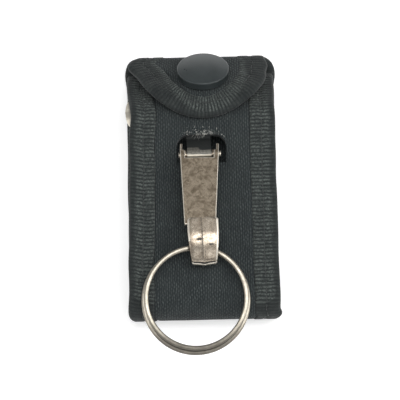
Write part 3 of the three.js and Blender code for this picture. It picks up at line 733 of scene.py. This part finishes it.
# The hanger plate's pale colours are a painted highlight on its left end and knuckle rim; its dark colour is
# painted shade over the rest of the plate.
HANGER_HIGHLIGHT_AND_SHADE = metal("plate_highlight_and_shade", (226, 218, 201), (250, 244, 230), 0.34, 0.14, 0.5, plate_shade_mask,
               (50, 53, 52))
STEEL = metal("plain_steel", (158, 149, 134), (208, 200, 186), 0.22, 0.2, 0.35)
# Painted highlight: paler steel for rounded edges.
STEEL_EDGE_HIGHLIGHT = metal("steel_edge_highlight", (190, 183, 170), (232, 226, 214), 0.2, 0.2, 0.25)
RING_STEEL = metal("ring_steel", (142, 136, 124), (188, 181, 167), 0.26, 0.18, 0.2, wire_underside_shade)


# Strap layers


def across_marks(half):
    """Places across a cloth, close together where it dips under the tape."""
    near = [0, 0.45, 0.8, 1.2, 1.8]
    inner = half - near[-1]
    middle = spaced(-inner, inner, 1.1) if inner > 0 else [0]
    left = [-half + d for d in near[:-1]]
    right = [half - d for d in reversed(near[:-1])]
    return left + middle + right


def cloth_rings(stations, half, outer, inner):
    """Rings of a sheet between two depth functions of x, s and the distance in from its edge. That distance
    is taken with x as the side, so the flap's cloth lies a little deeper on the left."""
    widest = max(half(s, 1) for s in stations)
    shares = [x / widest for x in across_marks(widest)]
    rings, flat = [], []
    for s in stations:
        xs = [share * half(s, share) for share in shares]
        upper = [(x, *strap.point(s, outer(x, s, half(s, x) - abs(x)))) for x in xs]
        lower = [(x, *strap.point(s, inner(x, s, half(s, x) - abs(x)))) for x in reversed(xs)]
        rings.append(upper + lower)
        flat.append([(x, s) for x in xs] + [(x, s) for x in reversed(xs)])
    return rings, flat


def closing(s):
    """How far the cloth turns in where it closes the strap's end."""
    radius = PLY / 2
    if s >= radius:
        return 0
    return radius - math.sqrt(max(0, radius**2 - (radius - s) ** 2))


def clear_of_tape(inset):
    """0 where a cloth is tucked under the tape, 1 where it is clear of it."""
    return smooth(inset, 0.3, 1.4)


def outer_face(x, s, inset):
    dip = lerp(CLOTH_TUCK, CLOTH_TOP, clear_of_tape(inset))
    stitches = sin(2 * pi * s / (STITCH_LENGTH + STITCH_GAP))
    pucker = STITCH_PUCKER * bell(inset, 1.6, 0.9) * stitches
    return max(dip + pucker + CLOTH_RIPPLE * wave(x / 5, s / 6), closing(s))


def outer_underside(x, s, inset):
    return max(CLOTH_UNDERSIDE, closing(s) + CLOTH_THINNEST)


def lining_face(x, s, inset):
    dip = lerp(PLY - CLOTH_TUCK, LINING_FACE, clear_of_tape(inset))
    return min(dip + CLOTH_RIPPLE * wave(x / 5, s / 6, 3), PLY - closing(s))


def lining_top(x, s, inset):
    return min(LINING_TOP, PLY - closing(s) - CLOTH_THINNEST)


def board_top(x, s, inset):
    return BOARD_TOP


def board_underside(x, s, inset):
    return BOARD_UNDERSIDE


def slot_cutter():
    """A prism of the slot's arch, through the front panel."""
    half = SLOT_WIDTH / 2
    shoulder = SLOT_TOP - SLOT_CORNER
    outline = [(-half, SLOT_BOTTOM), (half, SLOT_BOTTOM)]
    for side, first in ((half - SLOT_CORNER, 0), (SLOT_CORNER - half, 90)):
        for degrees in range(first, first + 91, 9):
            x, y = on_circle(degrees, SLOT_CORNER)
            outline.append((side + x, shoulder + y))
    levels = (LOOP_DEPTH - PLY - 1, LOOP_DEPTH + 1)
    return tube("slot_cutter", [[(x, y - MID_Y, z) for x, y in outline] for z in levels], None)


def cut_slot(piece, cutter):
    """Cuts the slot out of a layer and keeps the cut mesh."""
    change = piece.modifiers.new("slot", "BOOLEAN")
    change.object = cutter
    change.solver = "MANIFOLD"
    keep_changes(piece)
    return sharpen(piece, 45)


def flap_stations(inset, step):
    reach = FLAP_ROUND - inset
    tip = [flap_centre_s + reach * sin(radians(a)) for a in range(4, 90, 5)]
    return spaced(fold_start, flap_centre_s, step) + tip


def layer(name, insets, outer, inner, material, stations):
    """A sheet of the strap or the flap, by its insets from their edges and its two depth functions."""
    def half(s, side):
        return flap_half_width(s, lerp(*insets, round_fold(s)), side)
    rings, flat = cloth_rings(stations, half, outer, inner)
    return tube(name, rings, material, flat)


def over_hinge(piece):
    """Bakes a flap piece's placement into its mesh."""
    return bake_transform(piece)


def make_strap():
    cutter = slot_cutter()
    stations = [0.02, 0.1, 0.25, 0.45, 0.7, *spaced(PLY / 2, fold_start, 1.4)]
    cloth = layer("strap_cloth", FRONT_INSETS, outer_face, outer_underside, CLOTH, stations)
    lining = layer("strap_inner_cloth", BACK_INSETS, lining_face, lining_top, CLOTH, stations)
    board = layer("strap_board", BOARD_INSETS, board_top, board_underside, BOARD,
                  [s for s in stations if s > PLY / 2])
    layers = ((cloth, "strap_outer", "cloth"), (board, "strap_core", "board"),
              (lining, "strap_lining", "cloth"))
    for piece, node, slot in layers:
        cut_slot(piece, cutter)
        stand_in(piece, node, slot, "holder")
    bpy.data.objects.remove(cutter)


def make_flap():
    step, board_step = 0.9, 1.2
    cloth = layer("flap_cloth", FRONT_INSETS, outer_face, outer_underside, CLOTH,
                  flap_stations(FRONT_INSETS[1], step))
    lining = layer("flap_inner_cloth", BACK_INSETS, lining_face, lining_top, CLOTH,
                   flap_stations(BACK_INSETS[1], step))
    board = layer("flap_board", BOARD_INSETS, board_top, board_underside, BOARD,
                  [s for s in flap_stations(BOARD_INSETS[1], board_step) if s > slope_s])
    stand_in(board, "flap_core", "board", "flap")
    faces = ((cloth, "flap_outer", FRONT_INSETS), (lining, "flap_lining", BACK_INSETS))
    for piece, node, (_, inset) in faces:
        stand_in(piece, node, "cloth")
        over_hinge(piece)


# Binding tape


def tape_section(front, back, stitch, plain):
    """Points round a tape folded over an edge: distance in from the edge, depth, and share of the ribs. The
    ribs fade over a plain margin."""
    steps, edge, lip_width = 15, 1.5, 0.35

    def face(start, end, level, inward):
        """One side of the tape, with a valley and flatter ribs at the stitches."""
        points = []
        for i in range(1, steps):
            d = lerp(start, end, i / steps)
            dip = bell(d, stitch, STITCH_VALLEY_REACH)
            ribs = smooth(d, plain - 1.4, plain) * (1 - 0.75 * dip)
            points.append((d, level + inward * STITCH_VALLEY * dip, ribs))
        return points

    def lip(reach, inward, level):
        return [(reach - lip_width, level, 1), (reach - 0.08, level + inward * 0.1, 0.7),
                (reach + 0.02, level + inward * 0.3, 0.3), (reach - 0.1, level + inward * (TAPE + 0.05), 0)]

    points = list(reversed(lip(front, 1, -TAPE_PROUD)))
    points += face(front - lip_width, edge, -TAPE_PROUD, 1)
    radius = PLY / 2 + TAPE_PROUD
    for degrees in range(80, -81, -20):
        c, n = on_circle(degrees, radius)
        points.append((radius - c, PLY / 2 - n, 0.1))
    points += face(edge, back - lip_width, PLY + TAPE_PROUD, -1)
    points += lip(back, -1, PLY + TAPE_PROUD)
    inner = TAPE + 0.25
    return points + [(inner, PLY - TAPE - 0.05, 0), (inner, TAPE + 0.05, 0)]


def outward(points):
    """Unit normals of a section's points, away from the tape."""
    made = []
    for i in range(len(points)):
        before, after = points[i - 1], points[(i + 1) % len(points)]
        d, depth = after[0] - before[0], after[1] - before[1]
        size = math.hypot(d, depth) or 1
        made.append((-depth / size, d / size))
    return made


def rib_stations(start, end):
    """Stations along a tape, placed within each rib, and both ends."""
    first, last = math.floor(start / RIB_PITCH), math.ceil(end / RIB_PITCH)
    marks = [(k + t) * RIB_PITCH for k in range(first, last) for t in RIB_STATIONS]
    return [start] + [q for q in marks if start + 0.05 < q < end - 0.05] + [end]


def tape_rings(section, edges, place, plain):
    """Rings of a ribbed tape. edges gives each station's rib phase, strength, slant and edge, and place
    gives a point's position. Weak ribs take the look of the plain margin."""
    plain_shift = 12
    rings, flat = [], []
    for q, strength, slant, edge in edges:
        points = section(edge)
        normals = outward(points)
        rise = abs(sin(pi * q / RIB_PITCH)) ** RIB_ROUNDNESS - RIB_MEAN
        ring, row = [], []
        for (d, depth, share), (out_d, out_depth) in zip(points, normals):
            patchy = 0.85 + 0.5 * wave(d / 3, q / 4, 2)
            lift = RIB_HEIGHT * rise * share * strength * patchy
            drift = RIB_WANDER * wave(d / 2.2, q / 2.5, 7) * share + slant * min(d, STITCH_INSET)
            ring.append(place(edge, d + out_d * lift, depth + out_depth * lift, drift))
            row.append((d + depth + RIBBED_FROM - plain - plain_shift * max(0, 1 - strength), q))
        rings.append(ring)
        flat.append(row)
    return rings, flat


def near_ends(q, length, reach):
    """0 at both ends of a tape, and 1 further than a reach from them."""
    return smooth(min(q, length - q), 0, reach)


def make_side_tape(side, name, node):
    section_points = tape_section(SIDE_TAPE_FRONT, SIDE_TAPE_BACK, STITCH_INSET, SIDE_PLAIN)

    def place(s, d, depth, drift):
        return side * (half_width(s, side) - d), *strap.point(s + drift, depth)

    edges = []
    fade_from = bottom_start + of_side(RIB_FADE_FROM, side)
    fade_to = bottom_end + RIB_FADE_OUT
    for s in rib_stations(0, fold_start):
        fade = RIB_FADE * smooth(s - fade_from, 0, RIB_FADE_IN) * smooth(fade_to - s, 0, RIB_FADE_OUT)
        ends = near_ends(s, fold_start, 2)
        slant = RIB_SLANT * ends if side < 0 else 0
        edges.append((s, (1 - fade) * lerp(RIB_END, 1, ends), slant, s))
    rings, flat = tape_rings(lambda s: section_points, edges, place, SIDE_PLAIN)
    stand_in(tube(name, rings, RIBBED, flat), node, "binding_tape", "holder")


# The tape's length round the flap's end, a little inside the edge, and its whole length
ROUND_SHARE = 0.93
ROUND_LENGTH = pi * (flap_radius + FLAP_ROUND) / 2 * ROUND_SHARE
FLAP_TAPE_LENGTH = 2 * (flap_centre_s - fold_start) + ROUND_LENGTH


def flap_edge(q):
    """The flap's edge at a length along its tape: x, s, inward x, inward s, and how far round the fold."""
    straight = flap_centre_s - fold_start
    side = 1 if q < straight + ROUND_LENGTH / 2 else -1
    near = min(q, FLAP_TAPE_LENGTH - q)
    if near < straight:
        s = fold_start + near
        return side * half_width(s, side), s, -side, 0, round_fold(s)
    turn = pi * (q - straight) / ROUND_LENGTH
    c, n = cos(turn), sin(turn)
    size = math.hypot(c / flap_radius, n / FLAP_ROUND)
    s = flap_centre_s + FLAP_ROUND * n
    in_x, in_s = -c / flap_radius / size, -n / FLAP_ROUND / size
    return flap_radius * c + side * flap_flare(s, side), s, in_x, in_s, 1


def make_flap_tape():
    total = FLAP_TAPE_LENGTH
    ribs_at, ribs_reach, ribs_least, ribs_more = 0.46 * total, 16, 0.5, 0.48
    wide = tape_section(SIDE_TAPE_FRONT, SIDE_TAPE_BACK, STITCH_INSET, FLAP_PLAIN)
    narrow = tape_section(FLAP_TAPE_FRONT, FLAP_TAPE_BACK, FLAP_STITCH_INSET, FLAP_PLAIN)
    spread = tape_section(FLAP_TAPE_FRONT + FLAP_TAPE_SPREAD, FLAP_TAPE_BACK, FLAP_STITCH_INSET, FLAP_PLAIN)

    def between(first, second, share):
        return [tuple(lerp(a, b, share) for a, b in zip(p, n)) for p, n in zip(first, second)]

    def section(q):
        at_side = 1 - bell(q, total / 2, 13)
        return between(wide, between(narrow, spread, at_side), flap_edge(q)[4])

    def place(q, d, depth, drift):
        x, s, in_x, in_s, _ = flap_edge(q)
        along_x, along_s = in_s, -in_x
        return x + in_x * d + along_x * drift, *strap.point(s + in_s * d + along_s * drift, depth)

    edges = []
    for q in rib_stations(0, total):
        ends = near_ends(q, total, 0.8)
        middle = ribs_least + ribs_more * bell(q, ribs_at, ribs_reach)
        edges.append((q, middle * lerp(RIB_END, 1, ends), 0, q))
    rings, flat = tape_rings(section, edges, place, FLAP_PLAIN)
    piece = tube("flap_tape", rings, RIBBED, flat)
    stand_in(piece, "flap_binding", "binding_tape")
    over_hinge(piece)


# Stitching


def add_strand(graph, points, radius, sides=6):
    """A thread along a few points, with rounded ends."""
    points = [Vector(p) for p in points]
    rings = []
    for i, point in enumerate(points):
        ahead = points[min(i + 1, len(points) - 1)] - points[max(i - 1, 0)]
        side = ahead.orthogonal().normalized()
        up = ahead.cross(side).normalized()
        width = radius * (0.45 if i in (0, len(points) - 1) else 1)
        circle = [on_circle(360 * k / sides, width) for k in range(sides)]
        rings.append([point + side * c + up * n for c, n in circle])
    add_tube(graph, rings)


def stitch_row(graph, start, end, place):
    """Lockstitches along a row. place gives the point at a length along the row and a height above it."""
    length = start
    while length + STITCH_LENGTH < end:
        shares = (0, 0.12, 0.35, 0.65, 0.88, 1)
        heights = (-0.22, 0.02, 0.1, 0.1, 0.02, -0.22)
        points = [place(length + STITCH_LENGTH * t, h) for t, h in zip(shares, heights)]
        add_strand(graph, points, THREAD_RADIUS)
        length += STITCH_LENGTH + STITCH_GAP


def make_stitching():
    sunk = STITCH_VALLEY - TAPE_PROUD - THREAD_RADIUS * 0.6
    faces = ((sunk, -1), (PLY - sunk, 1))
    holder_rows, flap_rows = bmesh.new(), bmesh.new()
    for side in (-1, 1):
        for face, out in faces:
            def on_strap(s, height):
                depth = face + out * height
                return side * (half_width(s, side) - STITCH_INSET), *strap.point(s, depth)
            stitch_row(holder_rows, 0.8, fold_start - 0.2, on_strap)
    for face, out in faces:
        def on_flap(q, height):
            x, s, in_x, in_s, share = flap_edge(q)
            inset = lerp(STITCH_INSET, FLAP_STITCH_INSET, share)
            return x + in_x * inset, *strap.point(s + in_s * inset, face + out * height)
        stitch_row(flap_rows, 0.3, FLAP_TAPE_LENGTH - 0.2, on_flap)
    strap_thread = finish_mesh("strap_stitches", holder_rows, THREAD)
    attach(strap_thread, "holder")
    flap_thread = finish_mesh("flap_stitches", flap_rows, THREAD)
    over_hinge(flap_thread)


def rim_y(x):
    """The slot's upper rim at a place across it."""
    side = max(0, abs(x) - (SLOT_WIDTH / 2 - SLOT_CORNER))
    return SLOT_TOP - SLOT_CORNER - MID_Y + math.sqrt(max(0, SLOT_CORNER**2 - side**2))


def make_fray():
    """Loose yarn ends: tufts on the cloth above the slot's rim, and strands that hang into the slot."""
    graph = bmesh.new()
    face = LOOP_DEPTH - CLOTH_TOP
    leftmost, rightmost, sides = -5.5, 6.6, 5
    # Each tuft's place across the slot, its spread and its height above the rim
    tufts = [(1.1, 2.7, 0.9)] * 80 + [(-1.0, 0.3, 0.2)] * 14 + [(1.3, 0.35, 0.2)] * 16
    for middle, spread, height in tufts:
        x = clamp(random.gauss(middle, spread), leftmost, rightmost)
        y = rim_y(x) + abs(random.gauss(0, height)) - 0.1
        turn = random.uniform(0, pi)
        c, n = cos(turn), sin(turn)
        reach = random.uniform(0.12, 0.45)
        lift = random.uniform(0.06, 0.25)
        points = []
        for t in (-1, -0.4, 0.4, 1):
            bend = 0.3 * reach * t * t
            along_x = x + reach * t * c - bend * n
            along_y = y + reach * t * n + bend * c
            points.append((along_x, along_y, face + lift * (1 - t * t)))
        add_strand(graph, points, random.uniform(0.03, 0.07), sides)
    hanging, middle, spread = 11, -0.6, 1.5
    for _ in range(hanging):
        x = random.gauss(middle, spread)
        reach = random.uniform(0.5, 2.1)
        lean = random.uniform(-0.8, 0.8)
        start = face - random.uniform(0.1, 0.5)
        points = []
        for t in (0, 0.35, 0.7, 1):
            along_y = rim_y(x) + 0.1 - 0.8 * reach * t
            drop = 0.5 * reach * t * t
            points.append((x + lean * reach * t * t, along_y, start + 0.2 * t - drop))
        add_strand(graph, points, random.uniform(0.025, 0.045), sides)
    piece = finish_mesh("slot_fray", graph, FRAY)
    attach(piece, "holder")


# Snap


def make_cap():
    """A low dome with a rolled rim, drawn in below the rim."""
    lip, barrel, depth, foot, axis, steps = 0.38, 1.3, -2.4, 0.1, 0.02, 72
    crown = CAP_DIAMETER / 2 - lip
    profile = [(axis, depth), (barrel, depth), (barrel, foot), (CAP_BASE_RADIUS, foot),
               (CAP_BASE_RADIUS + 0.12, 0.3)]
    for degrees in range(-50, 71, 15):
        out, up = on_circle(degrees, lip)
        profile.append((crown + out, CAP_RIM - lip + up))
    for share in (0.97, 0.92, 0.84, 0.75, 0.65, 0.54, 0.43, 0.32, 0.2, 0.1):
        profile.append((crown * share, lerp(CAP_RIM, CAP_HEIGHT, 1 - share**2)))
    profile.append((axis, CAP_HEIGHT))
    y, z, heading = strap.at(cap_s)
    place = Matrix.Translation((SNAP_X, y, z)) @ Matrix.Rotation(heading - pi, 4, "X")
    rings = []
    for radius, height in profile:
        ring = [(*on_circle(360 * k / steps, radius), height) for k in range(steps)]
        rings.append([place @ Vector(point) for point in ring])
    stand_in(sharpen(tube("cap_dome", rings, PAINT), 60), "snap_cap", "black_cap", "flap")


# Clip

clip_place = Matrix.Translation((CLIP_X, PIN_Y - MID_Y, 0)) @ rotation(CLIP_LEAN, "Z")

hook_line = Path(-HOOK_TOP, HOOK_LEVEL, 180)
hook_line.straight(HOOK_BEND - HOOK_TOP)
hook_line.arc(HOOK_BEND_RADIUS, HOOK_CROWN_TURN - 180)
hook_line.arc(HOOK_CROWN_RADIUS, -HOOK_CROWN_TURN)
hook_line.straight(HOOK_TIP_FLAT)


def hook_half_width(s):
    """Half the hook's width: shoulder, strip, bend, crown and chamfered tip."""
    bend, crown, tip = (hook_line.start_of(i) for i in (1, 2, 3))
    end = hook_line.length
    knots = [(0, 8.2), (HOOK_TOP, 8.2), (2 * HOOK_TOP, 5.4), (bend - 5.6, 5.4), (bend, 7.0),
             ((bend + crown) / 2, 7.2), (crown, 7.9), ((crown + tip) / 2, 8.7), (tip, 9.1),
             (end - HOOK_TIP_CHAMFER, 9.0), (end, 9.0 - 2 * HOOK_TIP_CHAMFER)]
    for (s0, w0), (s1, w1) in zip(knots, knots[1:]):
        if s <= s1:
            return lerp(w0, w1, (s - s0) / (s1 - s0)) / 2
    return knots[-1][1] / 2


ACROSS = (0.05, 0.1, 0.16, 0.3, 0.5, 0.75, 1)
STRIP_BEVEL = ((0.08, 0.012), (0.62, 0.12), (0.72, 0.15), (0.93, 0.3), (1, 0.46))


def strip_section(half, sheet, gable, swell, corner):
    """A strip's section with rounded edges. gable slopes its outer face to a beaded ridge, and swell lifts
    it."""
    half_sheet = sheet / 2
    flat = half - corner
    across = [-u for u in reversed(ACROSS)] + [0, *ACROSS]
    points = []
    for u in across:
        bead = HOOK_BEAD * gable / HOOK_GABLE * bell(u * flat, 0, 0.42)
        points.append((u * flat, half_sheet + swell + gable * (0.5 - abs(u)) + bead))
    edge = half_sheet + swell - 0.5 * gable
    bevel = [(flat + corner * out, edge - fall * sheet) for out, fall in STRIP_BEVEL]
    under = [(flat + corner * out, fall * sheet - half_sheet) for out, fall in reversed(STRIP_BEVEL)]
    points += bevel + under
    points += [(u * flat, -half_sheet) for u in reversed(across)]
    return points + [(-x, depth) for x, depth in reversed(bevel + under)]


def strip_rings(line, stations, half, sheet, corner, gable=lambda s: 0, swell=lambda s: 0):
    """Rings of a strip along a line, drawn in to a rounded edge at both ends."""
    end_share, end_inset = 0.55, 0.35
    rings = []
    last = len(stations) - 1
    for i, s in enumerate(stations):
        drawn = 1 if 0 < i < last else end_share
        width = half(s) - (1 - drawn) * end_inset
        section = strip_section(width, sheet * drawn, gable(s) * drawn, swell(s) * drawn, corner * drawn)
        rings.append([clip_place @ Vector((x, *line.point(s, depth))) for x, depth in section])
    return rings


def make_hook():
    """The bent strip with its groove, its lip and its ears."""
    bend, crown = hook_line.start_of(1), hook_line.start_of(2)
    end = hook_line.length
    stations = [0, 0.15, *spaced(0.5, bend, 0.7), *spaced(bend, crown, 0.09)[1:],
                *spaced(crown, end - HOOK_TIP_CHAMFER, 0.4)[1:], end - 0.3, end - 0.12, end]

    def gable(s):
        return HOOK_GABLE * smooth(s, bend + 1, bend + 3)

    def swell(s):
        """The groove under the front leg and the lip below it, by how far the face has turned under."""
        under = math.degrees(hook_line.at(s)[2])
        lip = HOOK_LIP * smooth(under, *LIP_RISE) * smooth(LIP_END - under, 0, LIP_FALL)
        return lip - HOOK_GROOVE * bell(under, GROOVE_TURN, GROOVE_REACH)

    graph = bmesh.new()
    add_tube(graph, strip_rings(hook_line, stations, hook_half_width, HOOK_SHEET, 0.65, gable, swell))
    add_ears(graph)
    piece = sharpen(finish_mesh("hook_body", graph, HOOK_NICKEL, NICKEL_EDGE_HIGHLIGHT), 50)
    highlight_edges(piece)
    stand_in(piece, "hook", "antique_nickel", "clip")


def highlight_edges(piece):
    """Puts pale metal, a painted highlight, on the right edge, the upper part of the left edge and the lip
    under the groove.
    """
    tilt, upward = 0.3, 0.2
    left_from = GROOVE_Y + 5.5
    lip_front, lip_low, lip_high = GROOVE_Y + 0.6, GROOVE_Z - 1.5, GROOVE_Z - 0.3
    for face in piece.data.polygons:
        _, y, z = face.center / MM
        normal = face.normal
        sideways = normal.x > tilt or (normal.x < -tilt and y > left_from)
        edge = sideways and normal.z > upward and z > GROOVE_Z
        lip = normal.y < -tilt and y < lip_front and lip_low < z < lip_high
        face.material_index = 1 if edge or lip else 0


def add_ears(graph):
    """The hook's two ears, bent up beside the knuckle to carry the pin."""
    inside, sheet, radius, edge, drawn = 3.75, 0.6, 1.5, 0.1, 0.94
    outside = inside + sheet
    outline = [(-2 * HOOK_TOP, HOOK_LEVEL), (-HOOK_TOP, HOOK_LEVEL)]
    for degrees in range(260, 511, 10):
        y, z = on_circle(degrees, radius)
        outline.append((y, PIN_Z + z))
    outline.append((-2 * HOOK_TOP, HOOK_LEVEL + HOOK_SHEET / 2))
    centre_y = sum(p[0] for p in outline) / len(outline)
    centre_z = sum(p[1] for p in outline) / len(outline)
    for side in (-1, 1):
        rings = []
        for x, grow in ((inside, drawn), (inside + edge, 1), (outside - edge, 1), (outside, drawn)):
            ring = [(side * x, lerp(centre_y, y, grow), lerp(centre_z, z, grow)) for y, z in outline]
            rings.append([clip_place @ Vector(point) for point in ring])
        add_tube(graph, rings)


def make_spring():
    """The hairpin leaf, with its foot on the hook and its arm against the lever."""
    bend_y, bend_radius, foot, arm, rise, lift = 8.7, 1.2, 11, 9.5, 4.6, 0.2
    level = HOOK_LEVEL + HOOK_SHEET / 2 + lift + SPRING_SHEET / 2
    line = Path(-bend_y - foot, level, 0).straight(foot).arc(bend_radius, 180 - rise).straight(arm)
    stations = spaced(0, line.length, 0.35)
    rings = strip_rings(line, stations, lambda s: SPRING_WIDTH / 2, SPRING_SHEET, 0.12)
    piece = sharpen(tube("spring_leaf", rings, STEEL), 50)
    stand_in(piece, "gate_spring", "bright_steel")
    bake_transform(piece)


# Split ring


def make_ring():
    """One wire of nearly two turns, which climbs from one level to the other in a short ramp. The lower
    turn is a little the larger, and both hang from the same place."""
    sides, roundness, blunt, end_share = 24, 0.8, 1.2, 0.7
    radius = (RING_DIAMETER - RING_BAND) / 2
    w, h = RING_WIRE_WIDTH / 2, RING_WIRE_HEIGHT / 2
    place = Matrix.Translation((RING_X, RING_WIRE_Y - MID_Y, HOOK_LEVEL + HOOK_SHEET / 2 + RING_RISE))
    place = place @ rotation(RING_TILT, "X") @ rotation(-RING_LEAN, "Z")
    section = []
    for k in range(sides):
        c, n = on_circle(360 * (k + 0.5) / sides, 1)
        out, up = abs(c) ** roundness, abs(n) ** roundness
        section.append((w * math.copysign(out, c), h * math.copysign(up, n)))
    half_ramp = RING_RAMP / 2
    first, last = half_ramp, 720 - half_ramp
    rings = []
    for degrees in [first, first + 0.4, *spaced(first + blunt, last - blunt, 3), last - 0.4, last]:
        c, n = on_circle(degrees, 1)
        turned = smooth(degrees, 360 - half_ramp, 360 + half_ramp) - 0.5
        level = turned * RING_PITCH
        coil = radius - turned * RING_SPREAD
        drawn = lerp(end_share, 1, clamp(min(degrees - first, last - degrees) / blunt) ** 0.5)
        ring = []
        for out, up in section:
            r = coil + out * drawn
            y = (r * c - coil) * RING_STRETCH
            ring.append(place @ Vector((r * n, y, level + up * drawn)))
        rings.append(ring)
    piece = sharpen(tube("ring_wire", rings, RING_STEEL, [section] * len(rings)), 60)
    stand_in(piece, "key_ring", "bright_steel", "ring")


def make_hardware():
    """The pressed and turned metal, with rounded edges."""
    dressed("lever_plate", "lever_gate", "antique_nickel", "lever", 0.3, NICKEL, NICKEL_EDGE_HIGHLIGHT)
    dressed("hanger_sheet", "hanger_plate", "antique_nickel", "holder", 0.16, HANGER_HIGHLIGHT_AND_SHADE)
    steel = (("pin_turned", "pivot_pin", "clip", 0.12), ("stud_pressed", "snap_stud", "holder", 0.08),
             ("socket_pressed", "snap_socket", "flap", 0.08), ("post_turned", "snap_post", "holder", 0.08),
             ("rivet_left", "hanger_rivet_left", "holder", 0.15),
             ("rivet_right", "hanger_rivet_right", "holder", 0.15))
    for name, node, body, bevel in steel:
        dressed(name, node, "bright_steel", body, bevel, STEEL, STEEL_EDGE_HIGHLIGHT)


# Studio


def make_floor():
    """A white floor that shows white to the camera and in reflections, and keeps the shadow."""
    size, level = 4.0, -0.25 * MM
    graph = bmesh.new()
    corners = [(-size, -size, level), (size, -size, level), (size, size, level), (-size, size, level)]
    graph.faces.new([graph.verts.new(c) for c in corners])
    sh = new_material("studio_floor")
    path = sh.add("ShaderNodeLightPath").outputs
    seen = sh.larger(path["Is Camera Ray"], path["Is Glossy Ray"])
    seen = sh.larger(seen, path["Is Transmission Ray"])
    material = sh.finish(
        Base_Color=(0.78, 0.78, 0.78, 1), Roughness=1.0, Specular_IOR_Level=0.0,
        Emission_Color=(1, 1, 1, 1), Emission_Strength=sh.times(seen, 0.55),
    )
    finish_mesh("floor", graph, material)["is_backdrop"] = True


def make_world():
    """An even sky, a little brighter on the camera's side."""
    world = bpy.data.worlds.new("studio")
    bpy.context.scene.world = world
    sh = Shader(world)
    towards = sh.add("ShaderNodeTexCoord").outputs["Generated"]
    strength = sh.fit(sh.split(towards)[1], -0.8, 0.8, 0.5, 0.34)
    sky = sh.add("ShaderNodeBackground", {"Color": (1, 1, 1, 1), "Strength": strength})
    sh.add("ShaderNodeOutputWorld", {"Surface": sky.outputs[0]})


# Softboxes: name, place, aim, size and power, in metres and watts
SOFTBOXES = (
    ("key", (0.1, -0.025, 0.6), (0.1, -0.025, 0), (0.56, 0.23), 1.5),
    ("key_edge", (0.1, 0.115, 0.6), (0.1, 0.115, 0), (0.56, 0.05), 0.07),
    ("front_fill", (0.1, -0.55, 0.55), (0, 0, 0), (0.5, 0.5), 0.58),
    ("right_fill", (0.55, -0.03, 0.5), (0, 0, 0), (0.5, 0.26), 1.2),
    ("left_fill", (-0.6, -0.1, 0.45), (0, 0, 0), (0.4, 0.4), 0.5),
)


def add_softbox(name, place, aim, size, power):
    light = bpy.data.lights.new(name, "AREA")
    light.shape = "RECTANGLE"
    light.size, light.size_y = size
    light.energy = power
    lamp = add_object(name, light)
    lamp.location = place
    lamp.rotation_euler = (Vector(aim) - Vector(place)).to_track_quat("-Z", "Y").to_euler()


def make_camera():
    data = bpy.data.cameras.new("camera")
    data.sensor_width = 36
    data.lens = data.sensor_width * VIEW_DISTANCE / VIEW_WIDTH
    data.clip_start = 0.01
    camera = add_object("camera", data)
    back = Matrix.Translation((0, 0, VIEW_DISTANCE * MM))
    aimed = Matrix.Translation(Vector(VIEW_TARGET) * MM) @ rotation(VIEW_TILT, "X")
    camera.matrix_world = aimed @ rotation(-VIEW_ROLL, "Z") @ back
    bpy.context.scene.camera = camera


make_strap()
make_flap()
make_side_tape(-1, "tape_left", "binding_left")
make_side_tape(1, "tape_right", "binding_right")
make_flap_tape()
make_stitching()
make_fray()
make_cap()
make_hook()
make_spring()
make_ring()
make_hardware()
make_floor()
make_world()
for softbox in SOFTBOXES:
    add_softbox(*softbox)
make_camera()

bpy.context.scene.view_settings.view_transform = "Standard"

boxes = {"cad": cad_box, "visual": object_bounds()}
{key: [list(corner) for corner in box] for key, box in boxes.items()}
